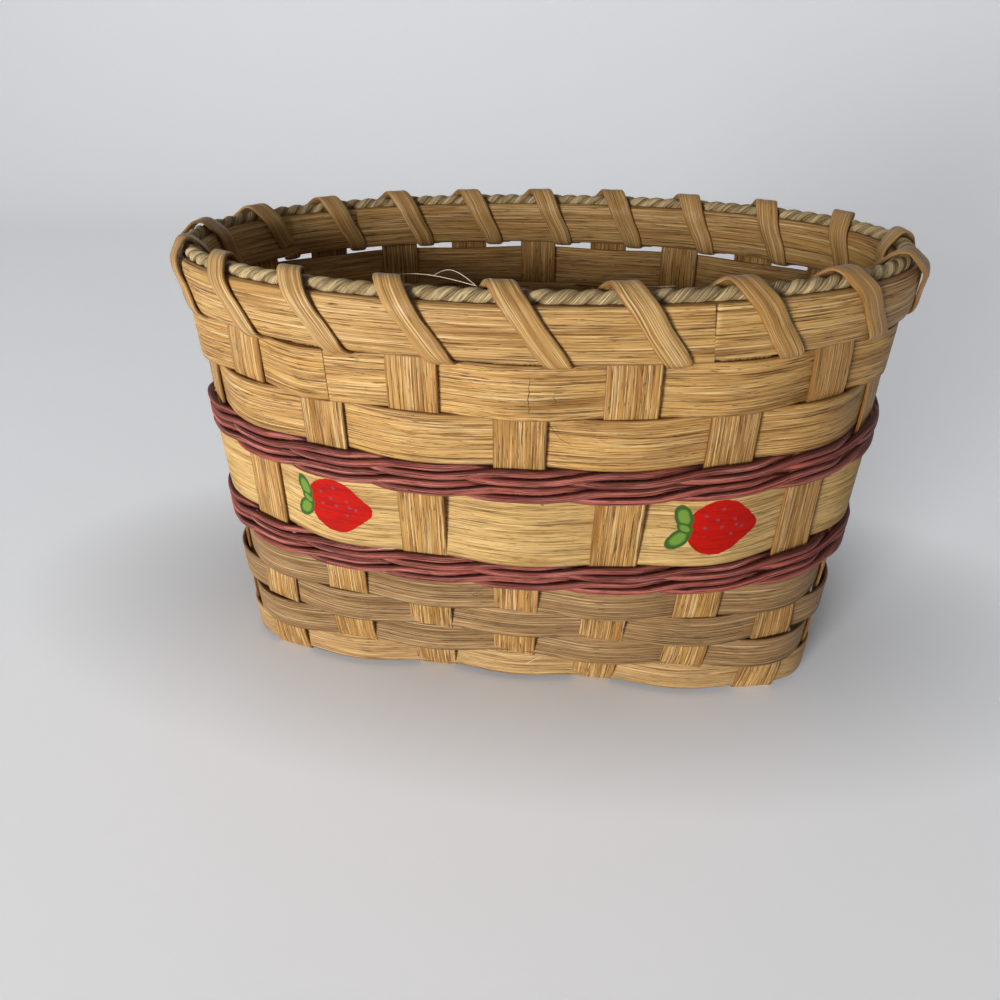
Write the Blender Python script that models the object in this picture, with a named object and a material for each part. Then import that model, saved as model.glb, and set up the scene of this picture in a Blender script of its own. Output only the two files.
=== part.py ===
"""Berry basket of flat reed: woven stakes and rows, two twined bands and a lashed rim."""
import functools
import math

import bmesh
import bpy
import numpy as np

for leftover in list(bpy.data.objects):
    bpy.data.objects.remove(leftover, do_unlink=True)

# Wall: half sizes at the foot, and how far its curve flares out from there up to its top
curve_height = 0.1500
foot_half_length = 0.1132
length_flare = 0.0090
foot_half_depth = 0.0533
depth_flare = 0.0222

# Wall: the foot is a rounded rectangle that fades into an oval
foot_squareness = 7.0
oval_squareness = 2.0
squareness_fade = 0.0270
lean_at_top = 0.0045

# Reed
stake_width = 0.0159
reed_thickness = 0.0011
seat_gap = 0.0003
fold_radius = 0.0016
outer_bulge = 0.0008
step_margin = 0.0001
crossing_margin = 0.0006

# Heights of the woven rows, from the ground up
first_row_height = 0.0026
narrow_row_width = 0.0126
wide_row_width = 0.0254
broad_row_width = 0.0158
row_gap = 0.0007
band_space = 0.0130
lashing_slot = 0.0024

# Twined bands
rod_radius = 0.00135
rod_rise = 0.00155
rod_pass_rise = 0.0016
rod_swing = 0.0004
rod_end_reach = 0.0062

# Rim
hoop_width = 0.0154
hoop_thickness = 0.0030
hoop_clearance = 0.0005
hoop_lap_step = 0.0012
rim_row_recess = 0.0004
stake_top_recess = 0.0028
rope_rest = 0.00011

# Lashing
lashing_width = 0.0066
lashing_thickness = 0.0010
lashing_seat = 0.0006
lashing_slot_place = 0.0124

# Counts and shares
stakes_long_side = 7
stakes_short_side = 3
stakes_round = 2 * (stakes_long_side + stakes_short_side)
outline_steps = 960
hoop_steps = 80
rope_sides = 8
middle_length_flare_share = 1.06
middle_depth_flare_share = 0.80
hoop_lap_share = 0.10
outer_joint_share = 0.080
inner_joint_share = 0.63
hoop_layer_shares = (0.0, 0.55, 1.0)
inner_lap_limit_share = 0.45
outer_lap_limit_share = 0.55
hoop_roundness_share = 0.75
lashing_turn_shares = (0.0, 0.02, 0.06, 0.19, 0.45, 0.535, 0.55, 0.585, 0.60, 0.69, 0.87, 0.945, 0.98)
twine_start_stake = 14
lashing_start_stake = 13

# Colours
natural_reed = (0.56, 0.37, 0.15, 1.0)
smoked_reed = (0.30, 0.19, 0.09, 1.0)
pale_reed = (0.66, 0.47, 0.23, 1.0)
stake_reed = (0.52, 0.33, 0.13, 1.0)
dyed_rod = (0.20, 0.035, 0.05, 1.0)
sea_rope = (0.50, 0.42, 0.22, 1.0)

# Derived sizes
middle_half_length = foot_half_length + length_flare * middle_length_flare_share
top_half_length = foot_half_length + length_flare
middle_half_depth = foot_half_depth + depth_flare * middle_depth_flare_share
top_half_depth = foot_half_depth + depth_flare
weave_offset = (reed_thickness + seat_gap) / 2
base_low = reed_thickness / 2
base_high = base_low + reed_thickness + seat_gap
fold_height = base_low + fold_radius
rod_offset = reed_thickness / 2 + seat_gap + rod_radius
rod_row_spacing = 2 * (rod_pass_rise + rod_radius) + seat_gap
end_radius = top_half_depth ** 2 / top_half_length
stake_bow = stake_width ** 2 / (8 * end_radius)
outer_seat = weave_offset + reed_thickness / 2 + hoop_clearance
inner_seat = outer_seat + stake_bow
hoop_half_space = (outer_seat + inner_seat) / 2
rope_offset = (outer_seat - inner_seat) / 2
rope_reach = hoop_half_space + rope_rest
rope_radius = rope_reach - seat_gap


def stacked_rows():
    """Bottom and top of every row, with the stakes it passes outside of: 0 even ones, 1 odd ones."""
    rows = {}
    level = first_row_height
    for number in range(1, 5):
        rows["row_%d" % number] = (level, level + narrow_row_width, (number + 1) % 2)
        level += narrow_row_width + row_gap
    level += band_space - row_gap
    rows["row_painted"] = (level, level + wide_row_width, 0)
    level += wide_row_width + band_space
    rows["row_5"] = (level, level + broad_row_width, 1)
    level += broad_row_width + row_gap
    rows["row_6"] = (level, level + broad_row_width, 0)
    return rows


rows = stacked_rows()
lower_band_middle = rows["row_4"][1] + band_space / 2
upper_band_middle = rows["row_painted"][1] + band_space / 2
straight_from = rows["row_6"][1]
hoop_bottom = straight_from + lashing_slot
hoop_middle = hoop_bottom + hoop_width / 2
hoop_top = hoop_bottom + hoop_width
rows["row_rim"] = (hoop_bottom + rim_row_recess, hoop_top - stake_top_recess, 1)
rope_height = hoop_top + math.sqrt(rope_reach ** 2 - hoop_half_space ** 2)


def curve_through(foot, middle, top, height):
    """Smooth curve through the values at the foot, in the middle and at the top."""
    share = height / curve_height
    value = foot * (2 * share - 1) * (share - 1)
    value += middle * 4 * share * (1 - share)
    value += top * share * (2 * share - 1)
    return value


@functools.lru_cache(maxsize=None)
def outline(height):
    """Closed outline of the wall at a height, its run of length and its three shape values."""
    height = min(height, straight_from)
    half_length = curve_through(foot_half_length, middle_half_length, top_half_length, height)
    half_depth = curve_through(foot_half_depth, middle_half_depth, top_half_depth, height)
    fade = math.exp(-height / squareness_fade)
    power = oval_squareness + (foot_squareness - oval_squareness) * fade
    turn = np.linspace(0, 2 * math.pi, outline_steps + 1)
    across = np.abs(np.sin(turn)) / half_length
    along = np.abs(np.cos(turn)) / half_depth
    reach = (across ** power + along ** power) ** (-1 / power)
    x = reach * np.sin(turn)
    y = -reach * np.cos(turn)
    run = np.concatenate([[0], np.cumsum(np.hypot(np.diff(x), np.diff(y)))])
    return x, y, run, (half_length, half_depth, power)


def on_wall(stake, height, along=0.0):
    """Point on the middle of the wall and its outward direction, counted in stakes from the front."""
    x, y, run, (half_length, half_depth, power) = outline(height)
    lean = lean_at_top * math.sin(math.pi / 2 * min(height, straight_from) / straight_from)
    place = (stake / stakes_round * run[-1] + lean + along) % run[-1]
    px = np.interp(place, run, x)
    py = np.interp(place, run, y)
    nx = abs(px / half_length) ** (power - 1) / half_length * np.sign(px)
    ny = abs(py / half_depth) ** (power - 1) / half_depth * np.sign(py)
    outward = np.array([nx, ny, 0.0]) / math.hypot(nx, ny)
    return np.array([px, py, height]), outward


def stake_frame(stake, height):
    """Left and right edge of a flat stake in the wall and the direction it faces."""
    left = on_wall(stake, height, -stake_width / 2)[0]
    right = on_wall(stake, height, stake_width / 2)[0]
    chord = right - left
    facing = np.array([chord[1], -chord[0], 0.0]) / math.hypot(chord[0], chord[1])
    return left, right, facing


def reed_material(name, colour, roughness):
    """Plain material of one piece."""
    material = bpy.data.materials.new(name)
    material.use_nodes = True
    shader = material.node_tree.nodes["Principled BSDF"]
    shader.inputs["Base Color"].default_value = colour
    shader.inputs["Roughness"].default_value = roughness
    material.diffuse_color = colour
    return material


def solid(name, sections, closed, colour, roughness=0.6):
    """One closed body through a run of sections that all have the same number of corners."""
    count = len(sections[0])
    corners = [tuple(float(v) for v in corner) for section in sections for corner in section]
    faces = []
    spans = len(sections) if closed else len(sections) - 1
    for i in range(spans):
        j = (i + 1) % len(sections)
        for k in range(count):
            m = (k + 1) % count
            faces.append((i * count + k, i * count + m, j * count + m, j * count + k))
    if not closed:
        last = (len(sections) - 1) * count
        faces.append(tuple(range(count)))
        faces.append(tuple(last + k for k in reversed(range(count))))
    mesh = bpy.data.meshes.new(name)
    mesh.from_pydata(corners, [], faces)
    shape = bmesh.new()
    shape.from_mesh(mesh)
    bmesh.ops.recalc_face_normals(shape, faces=shape.faces)
    bmesh.ops.triangulate(shape, faces=shape.faces)
    if shape.calc_volume(signed=True) < 0:
        bmesh.ops.reverse_faces(shape, faces=shape.faces)
    shape.to_mesh(mesh)
    shape.free()
    mesh.materials.append(reed_material(name, colour, roughness))
    piece = bpy.data.objects.new(name, mesh)
    bpy.context.scene.collection.objects.link(piece)
    return piece


def strip_section(left, right, facing):
    """Four corners of a flat strip between two edges."""
    half = facing * (reed_thickness / 2)
    return [left - half, right - half, right + half, left + half]


def stake_offset(stake, over):
    """How far a stake lies from the middle of the wall in a row."""
    return -weave_offset if stake % 2 == over else weave_offset


def stake_levels(stake):
    """Heights and offsets of a stake from its fold up to its top."""
    levels = []
    for name in ("row_1", "row_2", "row_3", "row_4", "row_painted", "row_5", "row_6", "row_rim"):
        bottom, top, over = rows[name]
        offset = stake_offset(stake, over)
        if name == "row_1":
            levels.append((fold_height, offset))
        else:
            levels.append((bottom - step_margin, offset))
        if name == "row_rim":
            levels.append((top, offset))
        else:
            levels.append((top + step_margin, offset))
        if name in ("row_4", "row_painted"):
            clear = rows[name][1] + row_gap / 2
            levels.append((clear, 0.0))
            levels.append((clear + band_space - row_gap, 0.0))
    return levels


def wall_part(stake, swap):
    """Sections of a stake from its top down to its fold."""
    sections = []
    for height, offset in reversed(stake_levels(stake)):
        left, right, facing = stake_frame(stake, height)
        if swap:
            left, right = right, left
        sections.append((left + facing * offset, right + facing * offset, facing))
    left, right, facing = sections[-1]
    for step in (1, 2):
        angle = step * math.pi / 4
        shift = -facing * (fold_radius * (1 - math.cos(angle)))
        shift = shift - np.array([0, 0, fold_radius * math.sin(angle)])
        down = facing * math.cos(angle) - np.array([0, 0, math.sin(angle)])
        sections.append((left + shift, right + shift, down))
    return sections


def base_part(start, end, axis, crossings):
    """Sections of a stake across the base, between its two folds."""
    sections = []
    for place, level in crossings:
        edges = []
        for side in (0, 1):
            first = start[side]
            last = end[side]
            share = (place - first[axis]) / (last[axis] - first[axis])
            point = first + (last - first) * share
            edges.append(np.array([point[0], point[1], level]))
        sections.append((edges[0], edges[1], start[2]))
    return sections


def stake_solid(name, first_stake, second_stake, number, others, axis):
    """One stake: down a wall, across the base over and under the others, and up the far wall."""
    near = wall_part(first_stake, False)
    far = wall_part(second_stake, True)
    pitch = outline(fold_height)[2][-1] / stakes_round
    reach = stake_width / 2 + crossing_margin
    crossings = []
    for other in others:
        level = base_low if (number + other) % 2 == 0 else base_high
        crossings.append((other * pitch - reach, level))
        crossings.append((other * pitch + reach, level))
    if near[-1][0][axis] > far[-1][0][axis]:
        crossings.reverse()
    across = base_part(near[-1], far[-1], axis, crossings)
    run = near + across + list(reversed(far))
    sections = [strip_section(left, right, facing) for left, right, facing in run]
    return solid(name, sections, False, stake_reed)


def weaver_solid(name, colour):
    """One row of flat reed that passes outside one stake and inside the next."""
    bottom, top, over = rows[name]
    half = reed_thickness / 2
    bulge = 0.0 if name == "row_rim" else outer_bulge
    sections = []
    for stake in range(stakes_round):
        outside = stake % 2 == over
        offset = weave_offset if outside else -weave_offset
        low = stake_frame(stake, bottom)
        high = stake_frame(stake, top)
        places = [(low[0], high[0], offset), (low[1], high[1], offset)]
        if outside:
            middle = ((low[0] + low[1]) / 2, (high[0] + high[1]) / 2, offset + bulge)
            places.insert(1, middle)
        for foot, head, shift in places:
            inner_foot = foot + low[2] * (shift - half)
            outer_foot = foot + low[2] * (shift + half)
            inner_head = head + high[2] * (shift - half)
            outer_head = head + high[2] * (shift + half)
            sections.append([inner_foot, outer_foot, outer_head, inner_head])
    return solid(name, sections, True, colour)


def rod_section(point, outward, offset, rise):
    """Four corners of a round rod, out and in, up and down."""
    up = np.array([0.0, 0.0, 1.0])
    centre = point + outward * offset + up * rise
    corners = ((1, 0), (0, 1), (-1, 0), (0, -1))
    return [centre + (outward * a + up * b) * rod_radius for a, b in corners]


def twine_solid(name, height, strand):
    """One rod of a twined row: outside two stakes, then inside one."""
    at_stake = {0: (rod_offset, -rod_rise), 1: (rod_offset, rod_rise), 2: (-rod_offset, 0.0)}
    between = {0: (rod_offset + rod_swing, 0.0), 1: (0.0, rod_pass_rise), 2: (0.0, -rod_pass_rise)}
    sections = []
    for number in range(stakes_round):
        stake = twine_start_stake + number
        phase = (number + strand) % 3
        left, right, facing = stake_frame(stake, height)
        along = (right - left) / stake_width
        offset, rise = at_stake[phase]
        if number == 0:
            sections.append(rod_section(left - along * rod_end_reach, facing, offset, rise))
        sections.append(rod_section(left, facing, offset, rise))
        sections.append(rod_section(right, facing, offset, rise))
        if number == stakes_round - 1:
            sections.append(rod_section(right + along * rod_end_reach, facing, offset, rise))
        else:
            point, outward = on_wall(stake + 0.5, height)
            offset, rise = between[phase]
            sections.append(rod_section(point, outward, offset, rise))
    return solid(name, sections, False, dyed_rod)


def hoop_section(share, side, first_share, last_share):
    """Six corners of the rounded hoop, or of one of its two halves where the ends lap."""
    point, outward = on_wall(share * stakes_round, hoop_middle)
    seat = outer_seat if side > 0 else inner_seat
    near = []
    for layer in hoop_layer_shares:
        part = first_share + (last_share - first_share) * layer
        half = hoop_width / 2 * math.sqrt(1 - hoop_roundness_share * part ** 2)
        place = point + outward * side * (seat + hoop_thickness * part)
        near.append((place, half))
    lower = [place - np.array([0, 0, half]) for place, half in near]
    upper = [place + np.array([0, 0, half]) for place, half in reversed(near)]
    return lower + upper


def hoop_solid(name, side, joint_share):
    """One hoop of the rim, as a strip whose two ends lap over each other in half thickness."""
    start = joint_share - hoop_lap_share
    length = outline(hoop_middle)[2][-1]
    step = hoop_lap_step / length
    lap_steps = max(2, round(hoop_steps * hoop_lap_share))
    sections = []
    for i in range(lap_steps + 1):
        share = start + hoop_lap_share * i / lap_steps
        sections.append(hoop_section(share, side, 0.0, inner_lap_limit_share))
    full = hoop_steps - lap_steps
    first_full = joint_share + step
    last_full = start + 1 - step
    for i in range(full + 1):
        share = first_full + (last_full - first_full) * i / full
        sections.append(hoop_section(share, side, 0.0, 1.0))
    for i in range(lap_steps + 1):
        first = start + 1 - step / 2
        share = first + (joint_share + 1 + step / 4 - first) * i / lap_steps
        sections.append(hoop_section(share, side, outer_lap_limit_share, 1.0))
    return solid(name, sections, False, natural_reed)


def rope_solid():
    """The rope that lies on top between the two hoops."""
    sections = []
    for i in range(hoop_steps):
        point, outward = on_wall(i / hoop_steps * stakes_round, rope_height)
        corners = []
        for k in range(rope_sides):
            angle = 2 * math.pi * (k + 0.5) / rope_sides
            up = np.array([0, 0, math.sin(angle)])
            corners.append(point + outward * rope_offset + (outward * math.cos(angle) + up) * rope_radius)
        sections.append(corners)
    return solid("rim_rope", sections, True, sea_rope)


def lashing_turn():
    """One turn of the lashing: share of the way to the next turn, place across and height."""
    over_rope = (rope_radius + lashing_seat + lashing_thickness / 2) / math.cos(math.pi / 8)
    slope = over_rope * math.sqrt(0.5)
    cover = hoop_thickness + lashing_seat + lashing_thickness / 2
    outside = outer_seat + cover
    inside = -inner_seat - cover
    under = hoop_bottom - lashing_seat - lashing_thickness / 2
    flat = hoop_width / 4 + lashing_seat
    outer_edge = (outside + outer_seat) / 2 + lashing_seat
    inner_edge = (inside - inner_seat) / 2 - lashing_seat
    outer_shoulder = outer_seat + hoop_thickness / 2 + lashing_seat
    inner_shoulder = -inner_seat - hoop_thickness / 2 - lashing_seat
    places = (
        (rope_offset, rope_height + over_rope),
        (rope_offset + slope, rope_height + slope),
        (outer_shoulder, hoop_top + lashing_seat),
        (outside, hoop_middle + flat),
        (outside, hoop_middle - flat),
        (outer_edge, under + lashing_seat),
        (outer_seat + lashing_seat, under),
        (-inner_seat - lashing_seat, under),
        (inner_edge, under + lashing_seat),
        (inside, hoop_middle - flat),
        (inside, hoop_middle + flat),
        (inner_shoulder, hoop_top + lashing_seat),
        (rope_offset - slope, rope_height + slope),
    )
    return [(share,) + place for share, place in zip(lashing_turn_shares, places)]


def lashing_solid():
    """One long strip wound round hoops and rope, one turn in every space between stakes."""
    turn = lashing_turn()
    pitch = outline(hoop_middle)[2][-1] / stakes_round
    slot_share = (turn[6][0] + turn[7][0]) / 2
    places = []
    first = 9
    total = len(turn) * stakes_round - 1
    for i in range(first, first + total):
        lap, step = divmod(i, len(turn))
        share, across, height = turn[step]
        stake = lashing_start_stake + lap + share - slot_share + lashing_slot_place / pitch
        places.append((stake, across, height))
    points = []
    outwards = []
    for stake, across, height in places:
        point, outward = on_wall(stake, height)
        points.append(point + outward * across)
        outwards.append(outward)
    points = np.array(points)
    sections = []
    for i in range(len(points)):
        a = max(i - 1, 0)
        b = min(i + 1, len(points) - 1)
        rise = places[b][2] - places[a][2]
        run = places[b][1] - places[a][1]
        out = (-rise * outwards[i] + run * np.array([0, 0, 1.0])) / math.hypot(rise, run)
        ahead = (points[b] - points[a]) / np.linalg.norm(points[b] - points[a])
        wide = np.cross(out, ahead)
        wide = wide / np.linalg.norm(wide)
        out = np.cross(ahead, wide)
        half = wide * (lashing_width / 2)
        thick = out * (lashing_thickness / 2)
        p = points[i]
        sections.append([p - half - thick, p + half - thick, p + half + thick, p - half + thick])
    report_least_gap(np.array(sections), len(turn))
    return solid("rim_lashing", sections, False, pale_reed)


def report_least_gap(sections, per_turn):
    """Least distance between one turn of the lashing and the next, measured on points."""
    shares = np.linspace(0, 1, 9)[:, None]
    dense = []
    for first, last in zip(sections[:-1], sections[1:]):
        for mix in (0.0, 0.25, 0.5, 0.75):
            corners = first * (1 - mix) + last * mix
            edges = [corners[k] * (1 - shares) + corners[(k + 1) % 4] * shares for k in range(4)]
            dense.append(np.concatenate(edges))
    dense = np.array(dense)
    lap = per_turn * 4
    least = None
    for i in range(0, len(dense) - lap // 2, 2):
        others = dense[i + lap // 2:i + lap + lap // 2:2].reshape(-1, 3)
        gaps = np.linalg.norm(dense[i][:, None, :] - others[None, :, :], axis=2)
        least = gaps.min() if least is None else min(least, gaps.min())
    print("least gap of the lashing to itself, in metres: %.5f" % least)


def build_stakes():
    """Seven stakes from front to back and three from end to end."""
    half_count = stakes_round // 2
    middle = stakes_long_side // 2
    side = stakes_short_side // 2
    for number in range(-middle, middle + 1):
        name = "stake_cross_%d" % (number + middle + 1)
        stake_solid(name, number, half_count - number, number, range(-side, side + 1), 1)
    for number in range(-side, side + 1):
        right = stakes_round // 4 + number
        name = "stake_long_%d" % (number + side + 1)
        others = range(-middle, middle + 1)
        stake_solid(name, stakes_round - right, right, number + 1, others, 0)


def build_rows():
    """The flat rows, dark at the foot and light above."""
    tints = {"row_1": pale_reed, "row_2": smoked_reed, "row_3": smoked_reed, "row_4": smoked_reed}
    for name in rows:
        weaver_solid(name, tints.get(name, natural_reed))


def build_twine():
    """Two twined bands, each of two rows of three rods."""
    bands = (("twine_lower", lower_band_middle), ("twine_upper", upper_band_middle))
    for band, middle in bands:
        number = 1
        for step in (-0.5, 0.5):
            for strand in range(3):
                height = middle + step * rod_row_spacing
                twine_solid("%s_%d" % (band, number), height, strand)
                number += 1


def build_rim():
    """Two hoops, the rope between them and the lashing round them all."""
    hoop_solid("rim_hoop_outer", 1, outer_joint_share)
    hoop_solid("rim_hoop_inner", -1, inner_joint_share)
    rope_solid()
    lashing_solid()


build_stakes()
build_rows()
build_twine()
build_rim()
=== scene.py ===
import functools
import math

import bmesh
import bpy
import numpy as np
from mathutils import Matrix, Vector
from mathutils.geometry import convex_hull_2d


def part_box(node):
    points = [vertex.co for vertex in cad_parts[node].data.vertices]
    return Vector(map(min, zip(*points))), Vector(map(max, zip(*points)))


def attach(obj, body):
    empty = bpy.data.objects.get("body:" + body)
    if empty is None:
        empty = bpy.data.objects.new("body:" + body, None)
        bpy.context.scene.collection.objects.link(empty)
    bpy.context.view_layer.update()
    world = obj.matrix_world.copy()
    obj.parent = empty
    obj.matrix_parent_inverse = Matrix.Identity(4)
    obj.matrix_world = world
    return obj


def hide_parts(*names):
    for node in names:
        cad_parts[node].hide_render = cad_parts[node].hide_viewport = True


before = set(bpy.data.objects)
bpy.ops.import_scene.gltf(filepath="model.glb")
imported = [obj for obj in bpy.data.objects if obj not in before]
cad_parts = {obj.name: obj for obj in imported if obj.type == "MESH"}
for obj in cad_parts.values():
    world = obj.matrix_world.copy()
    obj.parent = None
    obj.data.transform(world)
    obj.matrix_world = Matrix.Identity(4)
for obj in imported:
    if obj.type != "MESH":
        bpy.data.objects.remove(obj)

bl_info = {
    "name": "Berry Basket",
    "version": (1, 0, 0),
    "blender": (4, 5, 0),
    "location": "View3D > Sidebar > Basket",
    "description": "Dresses a woven reed basket with its strips, dyed rods, lashed rim and painted berries",
    "category": "Object",
}

# Every length is in metres. Places round the basket are counted in stakes: 0 is the middle of the
# front, and the count goes to the right and on round the basket

# The wall's rule, the same as the model's: half sizes at the foot, in the middle and at the top
CURVE_HEIGHT = 0.1500
HALF_LENGTHS = (0.1132, 0.12274, 0.1222)
HALF_DEPTHS = (0.0533, 0.07106, 0.0755)
FOOT_SQUARENESS = 7.0
OVAL_SQUARENESS = 2.0
SQUARENESS_FADE = 0.0270
LEAN_AT_TOP = 0.0045
OUTLINE_STEPS = 960

STAKES = 20
STAKES_LONG_SIDE = 7
STAKES_SHORT_SIDE = 3

# Rows from the ground up: the stakes that each passes outside of (0 even ones, 1 odd ones), the place
# where it starts, how many stakes its end laps over its start, and how far it sags at the back
ROW_PLAN = {
    "row_1": (0, 11.0, 2.0, 0.0),
    "row_2": (1, 8.0, 2.0, 0.0),
    "row_3": (0, 13.0, 2.0, 0.0009),
    "row_4": (1, 10.0, 2.0, 0.0),
    "row_painted": (0, 9.0, 2.0, 0.0),
    "row_5": (1, 12.0, 2.0, 0.0006),
    "row_6": (0, -4.0, 2.14, 0.0019),
    "row_rim": (1, 8.0, 2.0, 0.0),
}
ROWS = {name: (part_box(name)[0].z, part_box(name)[1].z) for name in ROW_PLAN}
STRAIGHT_FROM = ROWS["row_6"][1]

# Points of a row from stake to stake, the stakes over which a lap grows, and the share of its
# thickness and the length in stakes to which a row's end is shaved
ROW_STEPS = 16
LAP_GROWS = 0.5
ROW_END_THIN = 0.18
ROW_END_LENGTH = 0.25

# Unevenness of hand work: lengths, and shares of a width
UNEVEN_ROW_SWING = 0.00012
UNEVEN_ROW_HEIGHT = 0.00008
UNEVEN_ROW_WIDTH = 0.008
UNEVEN_ROD_HEIGHT = 0.00012
UNEVEN_LASHING_WIDTH = 0.04
UNEVEN_FIBRE = 0.0012

# Cracks across the fibres of the upper row: place along it, lowest and highest point, and width
CRACKS = ((0.0027, -0.0058, 0.0062, 0.00018), (0.0097, -0.0030, 0.0015, 0.00017))

# Lengths over which a crack fades at its ends, how far it wanders and over what length it bends
CRACK_TAPER_LOW = 0.0008
CRACK_TAPER_HIGH = 0.0045
CRACK_WANDER = 0.0024
CRACK_BEND = 0.0026

# Steps along a stake on the wall and on the base, and the space between the layers of the base
WALL_STEP = 0.0012
BASE_STEP = 0.0015
BASE_SPACE = 0.0006
BASE_CLEAR = 0.00002
BASE_LAYER_GAP = 0.0001

# Steps to a quarter turn at a stake's fold, and steps over which its way in and out is rounded
FOLD_STEPS = 4
WALL_SOFT = 7

# The space between stakes in which the rods' ends meet, and how near to its middle they come
ROD_JOINT = 14
ROD_MEET = 0.4985

# A rod's way over two stakes and inside one, in rod offsets and rises at each stake and after it
ROD_AT_STAKE = ((1, -1), (1, 1), (-1, 0))
ROD_BETWEEN = ((1.12, 0.0), (0.0, 1.35), (0.0, -1.35))

# Points of a rod from stake to stake, and steps over which its way out and its rise are rounded
ROD_STEPS = 20
ROD_SOFT_OUT = 7
ROD_SOFT_RISE = 9

# Heights in the rim, read from the model
HOOP_BOTTOM, HOOP_TOP = (corner.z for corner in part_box("rim_hoop_outer"))
HOOP_MIDDLE = (HOOP_BOTTOM + HOOP_TOP) / 2
ROPE_HEIGHT = sum(corner.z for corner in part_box("rim_rope")) / 2

# Where the outer and the inner hoop end, how many stakes their ends lap, and the cut's lean
HOOP_JOINTS = (1.60, 12.60)
HOOP_LAP = 2.0
HOOP_CUT = 0.13
HOOP_CUT_LENGTH = 0.25

# Points of a hoop's laps and of its body, and how far from the laps the body starts and ends
HOOP_LAP_STEPS = 40
HOOP_STEPS = 420
HOOP_BODY_GAPS = (0.012, 0.004)

# Shares of a hoop's thickness, from its inner face out, that a lapped end keeps
HOOP_START_OUTER = (0.12, 0.68)
HOOP_END_INNER = (0.16, 0.68)

# How the body takes over from the laps: a share of its outer face and points, and a length in stakes
HOOP_BLEND_FROM = 0.98
HOOP_BLEND_STEPS = 20
HOOP_BLEND_LENGTH = 0.25

# Place where the rope's ends meet, and its points
ROPE_JOINT = 13.28
ROPE_STEPS = 1000

# Place of the lashing's first turn, the share of the pitch at which a turn dips under the hoops, its
# shift along the rim as a length, the points of a turn, and the shares of one at which the strand
# starts and stops short
LASHING_PLACE = 13
LASHING_DIP = (0.55 + 0.585) / 2
LASHING_SHIFT = 0.0124
LASHING_STEPS = 72
LASHING_START = 0.70
LASHING_SHORT = 0.06

# How far the lashing leans on at the back, where its loops were drawn tighter, in stakes
LASHING_BACK_SHIFT = 0.16

# Way round the rim's section, in degrees from its top outwards, and the share of the pitch gone by
LASHING_TURN = (0, 27, 35, 54, 90, 120, 145, 165, 195, 234, 306, 333, 360)
LASHING_DRIFT = (0.0, 0.115, 0.155, 0.236, 0.32, 0.386, 0.485, 0.575, 0.62, 0.68, 0.82, 0.90, 1.0)

# Parts of a loop where the strand lies broader or, as at its lower tip, narrower: how much, at
# which way round, in degrees, and over how many of them
LASHING_BROADER = ((0.08, 118, 30), (-0.38, 180, 20))

# How a loop hangs slack over the top: how soon it tightens, how much broader it lies, how far it
# stands out for each step up, and how the turns differ: by how much, how fast and from where
SLACK_FADE = 1.5
SLACK_BROADER = 0.12
SLACK_OUT = 1.4
SLACK_VARIES = (0.35, 2.4, 0.6)

# Steps over which the lashing's drift and its section are rounded, its greater width at the back, and
# the seed of its uneven width
LASHING_SOFT_DRIFT = 9
LASHING_SOFT = 6
LASHING_BACK_BROADER = 0.12
LASHING_SEED = 4

# The loop under the lashing: points round the rim and round each of them, and the share of its own
# reach to which the rope is pressed
LOOP_POINTS = 48
LOOP_CORNERS = 12
ROPE_PRESSED = 0.96

# Relief of a reed's surface, from an open pore to a fibre
REED_RELIEF = 0.00016

# How far each layer of fibres is moved along and across from the one before, in fibres
LAYER_SHIFT = (7.3, 3.1)

# Shares of the colour round them that open pores and the brush's darkest strokes show
PORE_SHADE = 0.35
STROKE_SHADE = 0.55

# The paint's share of the fibres' relief, its roughness in and on them, and its shine
PAINT_RELIEF = 0.3
PAINT_ROUGH = (0.70, 0.55)
PAINT_SHINE = 0.12

# How far a berry's outline wanders, over what length, and how softly the paint ends
BRUSH_WANDER = 0.0008
BRUSH_BEND = 0.0022
PAINT_EDGE = 0.00025

# How far a berry's tip leans down, in degrees
BERRY_TURN = -3

# Leaves at a berry's stem end: across from it, up, the way round in degrees, and size
LEAVES = ((-0.0009, 0.0046, 108, 1.0), (-0.0019, -0.0038, 228, 1.05), (-0.0002, 0.0003, 150, 0.62))

# Shares of a leaf's size at which its darker rim begins and is whole, and at which the leaf ends
LEAF_RIM = (0.52, 0.74)
LEAF_END = (1.06, 0.96)

# Spacing of the seeds along and across a berry, and their place in it
SEED_CELL = (0.0044, 0.0038)
SEED_SHIFT = (0.25, 0.30, 0.0)

# A seed's outer and inner radius in its cell, how far inside the outline seeds begin and are whole,
# how strong they are, and the height from which they begin and are whole
SEED_RADIUS = (0.17, 0.11)
SEED_INSIDE = (0.0026, 0.0031)
SEED_STRENGTH = 0.85
SEED_LOWEST = (-0.0035, -0.0028)

# Points of a loose fibre and of a splinter, and the share of its width that either loses to its tip
FIBRE_STEPS = 24
SPLINTER_STEPS = 14
FIBRE_TAPER = 0.5

# The part of a half circle that a fibre's bow follows, and how fast its way wanders
FIBRE_BOW = 0.8
FIBRE_RATE = 6

# Loose fibres on the rim: place, distance from the wall's middle, way, length, bow and number
RIM_FIBRES = (
    (-0.39, -0.004, -1, 0.026, 0.0024, 1),
    (-0.39, -0.003, -1, 0.012, 0.0040, 2),
    (1.02, -0.004, 1, 0.009, 0.0003, 3),
)

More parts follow.
